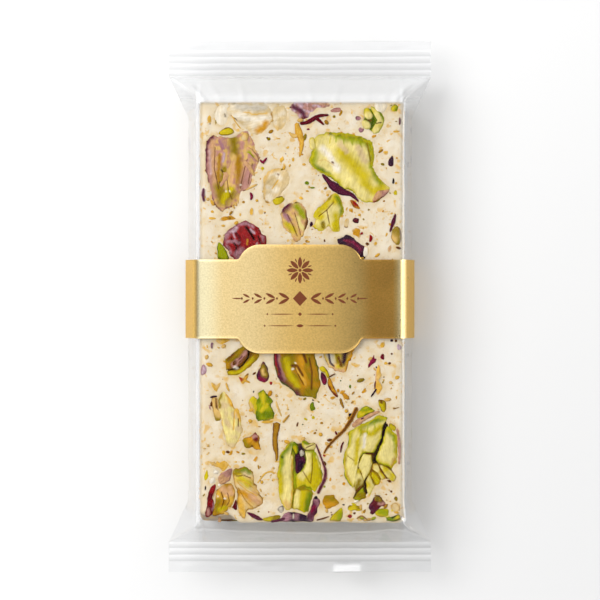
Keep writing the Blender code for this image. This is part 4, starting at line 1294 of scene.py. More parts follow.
# Small bits: x, y, long, wide, turn in degrees, colour.
# Flakes and seeds: x, y, length, width, turn and tone.
SMALL_BITS = """
    -15.5,45,2.2,0.6,30,olive -20.4,42,2.6,1.4,90,honey -18.9,41.2,1.6,0.5,80,olive
    -8.4,31,1,0.9,0,yellow 9.3,39,1.8,1.3,80,amber 11.7,38.4,1.8,1.5,0,amber
    9.1,43.3,2.2,1,60,bronze 16.7,38.2,1.5,1,20,amber 19.2,34.5,1.4,1,0,honey
    21.7,33.3,0.8,0.7,0,amber 21.8,30,1.5,0.6,0,honey 21.7,39.2,2.2,0.6,0,honey
    -4,33,1.8,1.4,80,honey -1.5,32.9,1.2,0.8,80,honey -2.7,35.6,0.9,0.8,0,honey
    -4.8,37.6,1.3,0.5,0,honey 1.5,27.7,1.1,1,0,green 2.6,26.6,1.4,0.6,0,green
    0.2,24.3,1.5,1,0,honey 1.5,14.6,1,0.9,0,bronze -6.7,17.7,0.8,0.7,0,honey
    -15.9,19.7,4.1,1.4,0,amber -19.8,19.7,2.4,0.8,0,honey -19.7,21.3,1.1,0.9,0,honey
    -17.1,18.1,1.3,1,0,honey -18.1,15.7,0.9,0.8,0,bronze -13.4,20.6,1.2,0.7,90,honey
    -10.9,21.2,1.8,1,90,honey -12.7,23.4,0.7,0.6,0,bronze -8.8,28.6,0.9,0.8,0,amber
    14.2,19.5,0.7,0.6,0,olive 12.6,16.6,3,2.6,30,amber 14.9,14,1.1,0.8,0,umber
    20.2,18.4,1.2,0.8,0,amber 19.4,16.2,1.5,0.8,70,honey 10.4,21.9,1.6,0.8,60,honey
    20.6,20.9,1,0.6,20,honey 18.6,21.4,0.8,0.5,50,amber 16.9,14.1,1.2,0.9,60,honey
    21.4,25.5,1.5,1.1,90,yellow 20.1,25.4,0.9,0.7,0,olive 11.5,21.5,1.7,1,-45,amber
    20.1,13,1.6,1,80,peach -20.8,-8.9,1.2,0.5,100,honey -20.8,-11.4,1.6,0.3,30,olive
    -2.6,-23.1,0.5,0.4,0,olive -3.6,-20.9,0.9,0.5,90,honey -0.6,-26.5,1.4,0.5,75,umber
    0.6,-26.4,0.5,0.4,0,leaf 1.3,-25.2,1.1,0.6,-30,yellow 2.9,-24.8,1.2,0.9,60,yellow
    4.9,-26.1,1.1,0.7,0,bronze 6.3,-27.1,0.8,0.6,0,honey 4.2,-21.4,0.7,0.6,0,olive
    5.6,-19.9,0.9,0.8,0,amber 7.3,-20.4,1.5,0.9,5,amber 9.5,-19.2,1.9,1.1,30,amber
    12.9,-15.5,0.6,0.5,0,bronze 9.1,-16.6,0.5,0.5,0,leaf 14.4,-18.9,2.2,0.9,60,amber
    18.5,-8.7,1.9,1.3,80,honey 21.5,-7.7,0.9,0.6,90,umber 20.6,-10.6,0.6,0.5,0,umber
    19.2,-12.7,1.3,0.9,0,honey 18.8,-15.8,0.5,0.4,0,violet 18.6,-16.9,0.7,0.35,70,olive
    21.8,-16,1.5,1.3,30,honey 21.6,-20.3,1,0.6,90,honey -9.1,-26.9,0.8,0.5,0,bronze
    -12,-23.3,0.6,0.4,30,honey -12.1,-24.6,0.5,0.5,0,bronze -12.7,-33,1.2,0.7,0,olive
    -17.1,-32.7,1.5,1,110,honey -9.9,-34.1,2,0.9,60,amber -9.3,-36.1,1.4,0.6,100,bronze
    -14.3,-34.8,0.6,0.5,0,honey -9.3,-45.9,0.6,0.5,30,olive 6.8,-38.8,1.2,0.8,70,amber
    8.2,-38.8,0.4,0.35,0,honey 9.8,-39.7,1.1,0.8,90,amber 20.4,-41.4,0.7,0.6,0,umber
    19.3,-42.1,0.6,0.5,0,bronze 21.6,-44.5,2,1.1,-20,honey 9.8,-44.4,0.8,0.6,0,ink
    7,-46.2,0.6,0.5,0,umber -5.4,-34.7,0.7,0.5,90,honey -21.6,-42.3,0.9,0.4,50,olive"""


def small_bits():
    """The chips that the list of flakes and seeds gives."""
    rows = [row.split(",") for row in SMALL_BITS.split()]
    return [bit(*map(float, row[:5]), row[5]) for row in rows]


# ---------------------------------------------------------------- finishes


def cut_finish(name, across, along, streak, roughness, bump, coat=0.0):
    """A painted piece whose fibres run along its grain."""
    finish = Finish(name, specular_ior_level=0.06, coat_roughness=0.2)
    tone = finish.node("ShaderNodeAttribute", {"attribute_name": "paint"})
    fibre = finish.lumps(vector=finish.along_grain(across, along), detail=4.0, roughness=0.65)
    speck = finish.lumps(0.28, detail=2.0)
    split = finish.lumps(vector=finish.along_grain(across * 3.0, along * 1.2), detail=2.0) - 0.5
    split = 1.0 - split.maths("ABSOLUTE", split).within(0.0, 0.035)
    darker = finish.blend(1.0, tone, (1 - streak, 1 - streak * 1.1, 1 - streak * 1.3), "MULTIPLY")
    deeper = finish.blend(1.0, tone, (0.80, 0.74, 0.60), "MULTIPLY")
    lighter = finish.blend(1.0, tone, (1 + streak * 0.5,) * 3, "MULTIPLY")
    body = finish.blend(fibre.within(0.32, 0.68), darker, lighter)
    finish.set(
        base_color=finish.blend(split * 0.55, body, deeper),
        roughness=roughness + 0.24 * (speck - 0.5),
        coat_weight=coat,
        normal=finish.bump(fibre * 0.7 + speck * 0.3 - split * 0.5, bump))
    return finish


def nougat_finish():
    """Cream nougat: waxy, finely porous, with browner clouds and tiny specks."""
    finish = Finish(
        "nougat", subsurface_weight=0.15, subsurface_scale=0.0015, specular_ior_level=0.25)
    finish.shader.inputs["Subsurface Radius"].default_value = (1.0, 0.8, 0.5)
    smear = finish.lumps(1.3, detail=3.0, distortion=0.8).within(0.52, 0.76)
    grain = finish.lumps(0.5, detail=2.0)
    tone = finish.node("ShaderNodeAttribute", {"attribute_name": "paint"})
    body = finish.blend(smear * 0.22, tone, paint("tan"))
    crowd = finish.lumps(3.5, detail=1.0).within(0.42, 0.58)
    for size, tone, rarity, cover in ((1.5, "honey", 0.645, 0.65), (0.8, "honey", 0.665, 0.8),
                                      (0.35, "amber", 0.745, 0.7)):
        dots = finish.lumps(size, detail=0.0).within(rarity, rarity + 0.09)
        body = finish.blend(dots * crowd * cover, body, paint(tone))
    finish.set(
        base_color=body,
        roughness=0.5 + 0.2 * grain,
        normal=finish.bump(grain * 0.4 + smear * 0.8, 0.08))
    return finish


def film_finish():
    """Clear film: nearly all light passes, and more is mirrored at a slant."""
    finish = Finish("clear_film")
    slant = finish.node("ShaderNodeLayerWeight", None, {"Blend": 0.5}, output=1)
    across, along = finish.axis(0), finish.axis(1)
    span = across.maths("ABSOLUTE", across)
    beyond = along.maths("ABSOLUTE", along).within(0.0455, 0.0515)
    beside = 1.0 - beyond
    # The upper neck is milky, most of all where the film leaves the bar.
    outer = span.within(0.0226, 0.0234)
    upper = along.within(0.0453, 0.0460) * (1.0 - outer) + along.within(0.0440, 0.0505) * outer
    neck = upper * (1.0 - along.within(0.0505, 0.0528))
    brow = upper * (1.0 - along.within(0.0466, 0.0482))
    # Bright lines run down the sides of the bar, brighter on the left.
    rim = span.band(0.0222, 0.0229, 0.0235, 0.0242) * beside
    line = span.band(0.0221, 0.0226, 0.0230, 0.0236) * beside
    left = 1.0 - across.within(-0.001, 0.001)
    right = across.within(0.0224, 0.0232) * beside
    # One glint lies on the lower lip.
    low = (0.0 - along).within(0.0576, 0.0580)
    glint = low * across.band(0.0072, 0.0080, 0.0132, 0.0142)
    mirror = (0.004 + 0.070 * beyond + 0.10 * rim + 0.45 * glint + 0.045 * right
              + 0.22 * slant + 0.72 * slant ** 5) * (1.0 - 0.55 * neck)
    haze = 0.57 * neck + 0.12 * brow + line * (0.14 + 0.22 * left)
    front = finish.node("ShaderNodeBsdfTransparent", None, {"Color": (0.984, 0.986, 0.989)})
    edge = finish.node("ShaderNodeBsdfTransparent", None, {"Color": (0.930, 0.935, 0.942)})
    gloss = finish.node(
        "ShaderNodeBsdfGlossy", None, {"Color": (1.0, 1.0, 1.0), "Roughness": 0.09})
    milky = finish.node("ShaderNodeBsdfDiffuse", None, {"Color": (0.69, 0.695, 0.70)})
    clear = finish.node("ShaderNodeMixShader", None, {0: slant, 1: front, 2: edge})
    shiny = finish.node("ShaderNodeMixShader", None, {0: mirror, 1: clear, 2: gloss})
    finish.give_out(finish.node("ShaderNodeMixShader", None, {0: haze, 1: shiny, 2: milky}))
    return finish


def sleeve_finish():
    """Satin gold card with a fine embossed grain, slightly crowned across the pack, with a painted
    highlight and painted shade across it.
    """
    finish = Finish("gold_card", metallic=1.0, coat_weight=0.10, coat_roughness=0.3,
                    specular_tint=(1.0, 0.86, 0.55))
    fine = finish.lumps(0.40, detail=3.0, roughness=0.7)
    broad = finish.lumps(5.0, detail=2.0)
    card = paint("gold") / SHADE
    across = finish.axis(0)
    left = across * -1.0
    # Painted light: paler towards the left edge and at the right one, a painted highlight, and
    # deeper short of the right edge, painted shade.
    pale = 0.42 * left.within(0.000, 0.012) + 0.58 * left.within(0.0165, 0.0215)
    pale = pale * (1.0 - left.within(0.0226, 0.0234))
    pale = pale + 0.5 * across.band(0.0214, 0.0222, 0.0234, 0.0240)
    deep = across.band(0.0125, 0.0165, 0.0206, 0.0216)
    # The painted highlight and the painted shade go into the card's colour here.
    card = finish.blend(pale, card, paint("painted_gold_highlight") / SHADE)
    card = finish.blend(deep, card, Vector((0.896, 0.49, 0.105)))
    rough = finish.blend(1.0, card, (0.82, 0.80, 0.74), "MULTIPLY")
    shade = finish.blend(fine.within(0.30, 0.70), rough, card)
    # The card's normal leans outwards, as on a crowned face.
    tilt = finish.node("ShaderNodeCombineXYZ", None, [across * 13.0])
    normal = finish.node("ShaderNodeNewGeometry", output=1)
    bent = finish.node("ShaderNodeVectorMath", {"operation": "ADD"}, [normal, tilt])
    level = finish.node("ShaderNodeVectorMath", {"operation": "NORMALIZE"}, [bent])
    grain = finish.bump(fine, 0.06, Strength=0.55, Normal=level)
    finish.set(base_color=shade, roughness=0.22 + 0.10 * broad + 0.06 * fine, normal=grain)
    return finish


def print_finish():
    """Matt brown print that shows a little of the card's grain."""
    finish = Finish("brown_print", metallic=0.25)
    fine = finish.lumps(0.32, detail=3.0, roughness=0.7)
    finish.set(
        base_color=finish.blend(fine, paint("print") * 0.8, paint("print") * 1.2),
        roughness=0.45 + 0.15 * fine,
        normal=finish.bump(fine, 0.05))
    return finish


def floor_finish():
    """Pale table top, with painted shade towards its lower right."""
    finish = Finish("floor", specular_ior_level=0.1)
    cloud = finish.lumps(60.0, detail=2.0)
    # Painted shade: the floor is darker towards the right and the lower end, away from the key
    # light.
    far = (finish.axis(0) - finish.axis(1)).within(-0.10, 0.14)
    pale = finish.blend(cloud, paint("floor") * 1.16, paint("floor") * 1.145)
    finish.set(
        base_color=finish.blend(far, pale, paint("floor") * 1.03),
        roughness=0.75 + 0.1 * cloud)
    return finish


# ---------------------------------------------------------------- the bar


def all_beds():
    """The outlines of the larger pieces on the face, each with its box."""
    beds = []
    for group in (UPPER_KERNELS, LOWER_KERNELS, ALMONDS, FRUIT, SKINS, PETALS, VEINS):
        for shape in group:
            if "outline" not in shape or shape["lift"] > 0.17:
                continue
            outline = shape["outline"]
            across = [point.x for point in outline]
            along = [point.y for point in outline]
            if min(max(across) - min(across), max(along) - min(along)) > 1.6:
                line = outline + outline[:1]
                beds.append((min(across), max(across), min(along), max(along), line))
    return beds


def within(spot, line):
    """Whether a spot is inside a closed line."""
    inside = False
    for a, b in zip(line, line[1:]):
        if (a.y > spot.y) != (b.y > spot.y):
            cross = a.x + (spot.y - a.y) / (b.y - a.y) * (b.x - a.x)
            inside = inside != (spot.x < cross)
    return inside


def hollow(x, y, beds):
    """How deep the nougat is pressed in under the larger pieces, and how near they are."""
    spot = Vector((x, y))
    deepest = 0.0
    nearest = 9.0
    for left, right, low, high, line in beds:
        if left - 1.5 < x < right + 1.5 and low - 1.5 < y < high + 1.5:
            away = distance_to(spot, line)
            nearest = min(nearest, away)
            if within(spot, line):
                deepest = max(deepest, clamp((away - 0.3) * 1.4, 0.0, 0.7))
    return deepest, nearest


def make_block():
    """The nougat itself: a rounded slab, uneven all over, hollowed under its nuts."""
    beds = all_beds()
    bar = bpy.context.scene.nougat_bar
    size = Vector((bar.width, bar.upper_end + bar.lower_end, bar.top - bar.bottom))
    middle = Vector((bar.shift, (bar.upper_end - bar.lower_end) / 2, (bar.top + bar.bottom) / 2))
    mesh = bmesh.new()
    bmesh.ops.create_cube(mesh, size=1.0)
    bmesh.ops.scale(mesh, vec=size, verts=mesh.verts)
    for axis in range(3):
        along = [edge for edge in mesh.edges
                 if abs(edge.verts[0].co[axis] - edge.verts[1].co[axis]) > size[axis] / 2]
        cuts = round(size[axis] / bar.grid)
        bmesh.ops.subdivide_edges(mesh, edges=along, cuts=cuts, use_grid_fill=True)
    core = size / 2 - Vector((bar.edge_radius,) * 3)
    paint_layer = mesh.verts.layers.float_color.new("paint")
    plain, white = paint("nougat"), paint("ivory")
    brown = paint("toasted").lerp(paint("honey"), 0.15)
    for vert in mesh.verts:
        inner = Vector([clamp(part, -reach, reach) for part, reach in zip(vert.co, core)])
        out = (vert.co - inner).normalized()
        point = inner + out * bar.edge_radius + middle
        uneven = relief(point)
        if out.z < 0.7:
            uneven += 0.16 * noise.noise(point / 9.0)
        stain_and_shade = 0.22 * ease(0.15 + 1.9 * noise.noise(point / 4.2))
        stain_and_shade += 0.28 * ease(2.2 * noise.noise(point / 1.2) - 0.2)
        # Browner towards the lower end.
        stain_and_shade += 0.14 * ease(-point.y / 40)
        if out.z > 0.7:
            deep, near = hollow(point.x, point.y, beds)
            # Browner near the pieces: a stain, with painted contact shade where they meet the
            # nougat.
            stain_and_shade += 0.55 * (1 - ease(near / 1.3)) * (0.6 + 0.8 * noise.noise(point / 1.1))
            uneven = min(uneven, 0.14) - deep + 0.06 * (1 - ease(near / 0.8))
        shade = 0.0
        if point.z < bar.top - 0.8:
            shade = ease((-point.x - 13) / 3) * ease((-point.y - 46.6) / 0.5)
        glow = ease(2.2 * noise.noise(point / 3.1 + Vector((9, 9, 9))))
        tone = plain.lerp(white, glow * 0.7).lerp(brown, clamp(stain_and_shade, 0.0, 0.9))
        vert[paint_layer] = (*tone.lerp(paint("umber").lerp(plain, 0.35), 0.8 * shade), 1.0)
        point += out * uneven
        if point.y < -40:
            lean = ease((-point.x - 13) / 3) * ease((-point.y - 44) / 4)
            point.y += 1.7 * lean * clamp((point.z - bar.top + 6) / 5)
        vert.co = point
    bmesh.ops.recalc_face_normals(mesh, faces=mesh.faces)
    return mesh


def random_shape(chance, reach):
    """The kind and size of a nut or fruit that is cut open on a side or on the back."""
    kind, flesh, rims, patches, long, wide = chance.choice((
        ("kernels", "pale", [("green", 0.7), ("umber", 0.2)], "lemon", 9.0, 6.5),
        ("kernels", "lemon", [("olive", 0.4)], "lime", 7.0, 5.0),
        ("kernels", "yellow", [("leaf", 0.3)], "lime", 4.0, 3.0),
        ("kernels", "bronze", [("plum", 0.6)], "olive", 7.0, 4.5),
        ("almonds", "pale", [("honey", 0.35)], "peach", 8.0, 4.0),
        ("fruit", "crimson", [("wine", 0.5)], "wine", 6.0, 4.0),
        ("skins", "plum", [("violet", 0.3)], "mauve", 3.6, 1.2),
        ("veins", "honey", [("tan", 0.3)], "amber", 2.0, 1.2),
        ("veins", "tan", [("peach", 0.2)], "honey", 1.4, 1.0),
        ("petals", "magenta", [("violet", 0.2)], "plum", 1.6, 0.8),
    ))
    scale = chance.uniform(0.6, 1.05)
    long, wide = min(long * scale, reach), min(wide * scale, reach * 0.9)
    outline = []
    for step in range(10):
        angle = math.tau * step / 10
        grow = chance.uniform(0.84, 1.1)
        outline.append((math.cos(angle) * long / 2 * grow, math.sin(angle) * wide / 2 * grow))
    shape = chip(outline, flesh, rims, patches=patches, lift=0.0, crown=0.14, depth=2.0,
                 grain=chance.uniform(0, 180), wrinkle=0.05)
    return kind, shape, max(long, wide)


def side_shapes():
    """Nuts and fruit on the sides, ends and back: for each kind, shapes with their places."""
    bar = bpy.context.scene.nougat_bar
    chance = random.Random(12)
    high = bar.top - bar.bottom
    long = bar.upper_end + bar.lower_end
    middle = (bar.upper_end - bar.lower_end) / 2
    walls = (
        ("back", bar.width, long, Vector((0, 0, -high / 2)), (0, 0, -1)),
        ("right", long, high, Vector((bar.width / 2, 0, 0)), (1, 0, 0)),
        ("left", long, high, Vector((-bar.width / 2, 0, 0)), (-1, 0, 0)),
        ("upper", bar.width, high, Vector((0, long / 2, 0)), (0, 1, 0)),
        ("lower", bar.width, high, Vector((0, -long / 2, 0)), (0, -1, 0)),
    )
    core = Vector((bar.shift, middle, bar.bottom + high / 2))
    areas = [wall[1] * wall[2] for wall in walls]
    placed = {wall[0]: [] for wall in walls}
    shapes = []
    for _ in range(bar.side_bits * 4):
        if len(shapes) >= bar.side_bits:
            break
        name, wide, tall, centre, out = chance.choices(walls, areas)[0]
        kind, shape, reach = random_shape(chance, min(tall - 3.0, 10.0))
        across = chance.uniform(-1, 1) * (wide / 2 - reach / 2 - 1.4)
        up = chance.uniform(-1, 1) * max(tall / 2 - reach / 2 - 1.2, 0.2)
        if any(math.hypot(across - x, up - y) < (reach + r) * 0.46 for x, y, r in placed[name]):
            continue
        placed[name].append((across, up, reach))
        out = Vector(out)
        side = Vector((0, 0, 1)).cross(out) if abs(out.z) < 0.5 else Vector((1, 0, 0))
        rise = out.cross(side)
        place = Matrix((side, rise, out)).transposed().to_4x4()
        place.translation = core + centre + side * across + rise * up
        turn = Matrix.Rotation(chance.uniform(0, math.tau if reach < 8 else 0.5), 4, "Z")
        shapes.append((kind, shape, place @ turn))
    return shapes


def make_kind(name, kind, shapes, finish, seed):
    """One piece: all the shapes of a kind, on the face, the sides and the back."""
    tray = Tray(seed)
    tray.add_all(shapes)
    for other, shape, place in side_shapes():
        if other == kind:
            tray.add_all([shape], place)
    return finish_piece(name, tray.whole, finish, sharp=50)


def make_crumbs():
    """Fine crumbs of nut and caramel, pressed into the face, sides and back."""
    bar = bpy.context.scene.nougat_bar
    chance = random.Random(5)
    tray = Tray(900)
    beds = all_beds()
    tones = ("tan", "honey", "honey", "amber", "honey", "olive", "tan", "bronze", "tan", "umber")
    half = bar.width / 2
    for index in range(bar.crumbs * 2):
        x = chance.uniform(-half + 0.8, half - 0.8) + bar.shift
        y = chance.uniform(-bar.lower_end + 0.8, bar.upper_end - 0.8)
        z = chance.uniform(bar.bottom + 1.2, bar.top - 1.2)
        side = chance.choice((-1, 1))
        size = 0.11 + 0.40 * chance.random() ** 2.4
        tone = paint(chance.choice(tones))
        stretch = chance.uniform(1.0, 2.2)
        turn = Matrix.Rotation(chance.uniform(0, math.tau), 4, "Z")
        if index < bar.crumbs:
            if hollow(x, y, beds)[0] or wander(x, y, 5.0, 31) < chance.uniform(-0.6, 0.1):
                continue
            place = Matrix.Translation((x, y, bar.top))
        elif index < bar.crumbs * 1.5:
            place = Matrix.Translation((side * half + bar.shift, y, z)) @ Matrix.Rotation(
                side * math.pi / 2, 4, "Y")
        else:
            place = Matrix.Translation((x, y, bar.bottom)) @ Matrix.Rotation(math.pi, 4, "X")
        shape = Matrix.Diagonal((size * stretch, size, size * 0.6, 1.0))
        tray.begin()
        bmesh.ops.create_uvsphere(
            tray.mesh, u_segments=7, v_segments=4, radius=1.0, matrix=place @ turn @ shape)
        for vert in tray.mesh.verts:
            vert[tray.tone] = (*tone, 1.0)
        tray.end()
    return tray.whole


# ---------------------------------------------------------------- the pouch


# Steps round each corner, across a face and down a slope of the section, and its radii.
CORNER_STEPS = 7
FACE_STEPS = 76
SLOPE_STEPS = 11
EDGE_RADIUS = 1.8
NOSE_RADIUS = 1.6

# The pouch: half its width at the seals, and half the height of the pressed seal.
FULL_HALF = FILM_BOX[1].x
SEAL_HALF = 0.14

# How far the seals lie above half the pack's height.
SEAL_RISE = 0.32

# Height of the pouch's back behind the sleeve and elsewhere, its clearance from the sleeve's
# edge, and the run over which it changes.
BACK_AT_SLEEVE = 0.65
BACK_ELSEWHERE = 0.16
SLEEVE_GAP = 0.4
DIP_RUN = 3.0

# Rows of points: along each seal, along each neck and between the necks.
SEAL_ROWS = 56
NECK_ROWS = 30
MIDDLE_ROWS = 84

# The back seam: its width, its place across the pack, and how far it ends from the seals.
SEAM_WIDTH = 9.0
SEAM_PLACE = 0.5
SEAM_ENDS = 7.0


def pouch_section(half, flat, low, high, middle, shift=0.0):
    """Points, (x, z), round the pouch: a flat face and back, and sides out to a nose."""
    right, left = flat + shift, shift - flat
    corners = [
        (right, high, EDGE_RADIUS, SLOPE_STEPS), (half, middle, NOSE_RADIUS, SLOPE_STEPS),
        (right, low, EDGE_RADIUS, FACE_STEPS), (left, low, EDGE_RADIUS, SLOPE_STEPS),
        (-half, middle, NOSE_RADIUS, SLOPE_STEPS), (left, high, EDGE_RADIUS, FACE_STEPS)]
    arcs = []
    for index, (x, z, radius, _) in enumerate(corners):
        corner = Vector((x, z))
        before = Vector(corners[index - 1][:2]) - corner
        after = Vector(corners[(index + 1) % 6][:2]) - corner
        reach = radius / math.tan(before.angle(after) / 2)
        start = corner + before.normalized() * min(reach, before.length * 0.45)
        end = corner + after.normalized() * min(reach, after.length * 0.45)
        arcs.append([start.lerp(corner, t).lerp(corner.lerp(end, t), t)
                     for t in (step / CORNER_STEPS for step in range(CORNER_STEPS + 1))])
    points = []
    for index, arc in enumerate(arcs):
        points += arc
        start, end = arc[-1], arcs[(index + 1) % 6][0]
        steps = corners[index][3]
        points += [start.lerp(end, step / steps) for step in range(1, steps)]
    stretch = half / max(point.x for point in points)
    return [(point.x * stretch, point.y) for point in points]


# Folds of the film between the bar and a seal: x at the seal, x at the bar, height.
NECK_FOLDS = ((-27.0, -21.5, 0.55), (-21.0, -18.0, 0.22), (-14.0, -12.5, 0.28),
              (-6.0, -7.0, 0.16), (1.5, 2.5, 0.22), (9.0, 8.0, 0.26), (16.5, 15.0, 0.2),
              (22.0, 19.0, 0.24), (27.0, 21.5, 0.55))

# The bend where the film leaves the bar, at each end.
NECK_CREASES = {
    1: points_of("""-29,51.8 -27,50.2 -25,48.6 -22.5,47.5 -17,47.6 -8,47 2,46.9 12,47.6
        20,47.2 23,48 26,50 29,51.8"""),
    -1: points_of("""-29,-53 -25.5,-50.6 -22,-49.4 -14,-50.4 -4,-50.9 6,-51.3 16,-50.6
        21,-49.6 25,-50.8 29,-53"""),
}


def past_sleeve(y):
    """0 behind the sleeve and 1 well past its edge, at a place along the pack."""
    sleeve = bpy.context.scene.nougat_sleeve
    return ease((abs(y - sleeve.middle) - sleeve.strip / 2 - SLEEVE_GAP) / DIP_RUN)


def pouch_place(y):
    """The pouch at a place along it: where its seal starts, how far inward of that the place
    is, the half widths of the section and of its flat face, its heights, and its share of the
    full thickness."""
    bar, pouch, _ = scene_settings()
    seal = pouch.upper_seal if y > 0 else pouch.lower_seal
    end = bar.upper_end if y > 0 else bar.lower_end
    middle = (FILM_BOX[0].z + FILM_BOX[1].z) / 2 + SEAL_RISE
    inward = seal - abs(y)
    narrowing = clamp(inward / pouch.neck)
    swelling = clamp(inward / (seal - end))
    half = mix(FULL_HALF, pouch.tube_width / 2, narrowing)
    flat = mix(FULL_HALF - 0.3, bar.width / 2, swelling)
    height = 1 - (1 - swelling) ** 1.5
    back = mix(BACK_AT_SLEEVE, BACK_ELSEWHERE, past_sleeve(y))
    low = mix(middle - SEAL_HALF, back, height)
    high = mix(middle + SEAL_HALF, pouch.top, height)
    return seal, inward, half, flat, low, high, middle, swelling


def film_rows(pouch):
    """Places along the pack where the film has points, closest together at its seals."""
    rows = []
    for sign, seal in ((-1, pouch.lower_seal), (1, pouch.upper_seal)):
        rows += [sign * mix(seal - 0.2, FILM_BOX[1].y, step / SEAL_ROWS)
                 for step in range(SEAL_ROWS + 1)]
        rows += [sign * mix(seal - 0.6, seal - 12.0, step / NECK_ROWS)
                 for step in range(NECK_ROWS + 1)]
    rows += [mix(-pouch.lower_seal + 12.8, pouch.upper_seal - 12.8, step / MIDDLE_ROWS)
             for step in range(MIDDLE_ROWS + 1)]
    return sorted(set(rows))


def crimped(x, y, z, into, seal):
    """A point of a seal, pressed into ridges that end in an uneven lip."""
    pouch = bpy.context.scene.nougat_pouch
    ridges = int((FILM_BOX[1].y - seal - pouch.lip) / pouch.ridge_pitch)
    sign = 1 if y > 0 else -1
    wave = into + 0.16 * wander(x, y, 9.0, 3) + 0.05 * wander(x, y, 3.0, 4)
    inside = ease(wave / 0.3) * ease((ridges * pouch.ridge_pitch - wave) / 0.3)
    swell = (1 - math.cos(math.tau * wave / pouch.ridge_pitch)) / 2
    z += pouch.ridge_height * inside * (swell ** 0.4)
    edge = clamp((abs(x) - FULL_HALF + 0.8) / 0.8)
    x -= math.copysign(0.16 * edge * swell * inside, x)
    lip = ease((wave - ridges * pouch.ridge_pitch) / 1.2)
    z += lip * (0.16 * wander(x, 0.0, 11.0, 6) + 0.10 * wander(x, y, 4.0, 7))
    if sign < 0:
        # A stretch of the lower lip curls up.
        curl = ease((x - 6.0) / 3) * ease((15.5 - x) / 3)
        z += 0.17 * curl * lip * (-y - 58.2)
    return x, y + sign * lip * 0.12 * wander(x, 0.0, 14.0, 8), z


def slackened(x, y, z, middle, inward, seal, swelling):
    """A point of the film between its seals, with the folds, bends and ripples there."""
    sign = 1 if y > 0 else -1
    up = 1 if z > middle else -1
    gap = abs(z - middle)
    slack = ease(inward / 1.5) * ease((13.0 - inward) / 8.0)
    for at_seal, at_bar, rise in NECK_FOLDS:
        share = clamp(inward / (seal - 46.5))
        line = mix(at_seal, at_bar, share) + 0.3 * wander(x, y, 4.0, 11)
        far = abs(x - line) / 0.75
        if far < 1:
            z += up * rise * slack * (1 - ease(far)) * min(1.0, gap)
    away = distance_to(Vector((x, y)), NECK_CREASES[sign])
    if up > 0 and away < 1.5:
        fold = 0.5 if sign < 0 else 0.35 * ease((abs(x) - 21.5) / 2)
        z += fold * slack * (1 - ease(away / 1.5)) * min(1.0, gap)
    wrinkle = 0.07 * wander(x * 0.35, y, 2.4, 12) + 0.03 * wander(x, y, 1.1, 13)
    z += up * wrinkle * slack * min(1.0, gap)
    if swelling >= 1:
        # Beside the bar the film is loose, and its sides ripple lengthwise.
        side = 0.10 * wander(y, z, 5.0, 15) + 0.04 * wander(y, z, 2.4, 16)
        side += 0.08 * math.sin(2.5 * z + 2.4 * wander(y, 0.0, 26.0, 17))
        z += 0.028 * wander(x, y, 7.0, 14)
        x += math.copysign(side * ease((abs(x) - 22.6) / 1.2), x)
    return x, y, z


def make_film():
    """The sealed pouch: a tube of film whose two ends are crimped flat."""
    bar, pouch, _ = scene_settings()
    rows = film_rows(pouch)
    around = len(pouch_section(25.0, 22.0, 0.0, 13.0, 7.0))
    mesh = bmesh.new()
    bmesh.ops.create_grid(mesh, x_segments=around, y_segments=len(rows) - 1, size=1.0)
    columns = {}
    for vert in mesh.verts:
        row = round((vert.co.y + 1) / 2 * (len(rows) - 1))
        columns.setdefault(row, []).append(vert)
    for row, verts in columns.items():
        y = rows[row]
        seal, inward, half, flat, low, high, middle, swelling = pouch_place(y)
        section = pouch_section(half, flat, low, high, middle, bar.shift * swelling)
        for vert in verts:
            column = round((vert.co.x + 1) / 2 * around) % around
            x, z = section[column]
            if inward < 0.3:
                x, along, z = crimped(x, y, z, -inward, seal)
            else:
                x, along, z = slackened(x, y, z, middle, inward, seal, swelling)
            vert.co = (x, along, max(z, 0.03))
    bmesh.ops.remove_doubles(mesh, verts=mesh.verts, dist=0.0005)
    rims = [edge for edge in mesh.edges if edge.is_boundary]
    bmesh.ops.holes_fill(mesh, edges=rims, sides=0)
    bmesh.ops.recalc_face_normals(mesh, faces=mesh.faces)
    return mesh


def make_back_seam():
    """The lengthwise seam on the back: two layers of film, folded flat to one side."""
    _, pouch, _ = scene_settings()
    mesh = bmesh.new()
    long = pouch.upper_seal + pouch.lower_seal - 2 * SEAM_ENDS
    middle = (pouch.upper_seal - pouch.lower_seal) / 2
    bmesh.ops.create_grid(mesh, x_segments=16, y_segments=180, size=0.5)
    for vert in mesh.verts:
        x = SEAM_PLACE + vert.co.x * SEAM_WIDTH
        y = middle + vert.co.y * long
        x += 0.2 * wander(0.0, y, 12.0, 21)
        z = mix(0.56, 0.08, past_sleeve(y)) + 0.02 * wander(x, y, 3.0, 22)
        z += 0.015 * math.cos(math.tau * x / 1.0)
        vert.co = (x, y, z)
    bmesh.ops.recalc_face_normals(mesh, faces=mesh.faces)
    bmesh.ops.solidify(mesh, geom=mesh.faces, thickness=0.03)
    return mesh


# ---------------------------------------------------------------- the sleeve


def sleeve_reach(x):
    """How far the sleeve's face reaches from its middle along Y, at a place across it."""
    sleeve = bpy.context.scene.nougat_sleeve
    drop = (sleeve.plaque - sleeve.strip) / 2
    radii = sleeve.shoulder + sleeve.fillet
    turn = math.acos(1 - drop / radii)
    out = abs(x) - sleeve.plaque_flat / 2
    shoulder_end = sleeve.shoulder * math.sin(turn)
    foot = radii * math.sin(turn)
    if out <= 0:
        return sleeve.plaque / 2
    if out <= shoulder_end:
        return sleeve.plaque / 2 - sleeve.shoulder + math.sqrt(sleeve.shoulder ** 2 - out ** 2)
    if out <= foot:
        return (sleeve.strip / 2 + sleeve.fillet
                - math.sqrt(max(sleeve.fillet ** 2 - (foot - out) ** 2, 0.0)))
    return sleeve.strip / 2


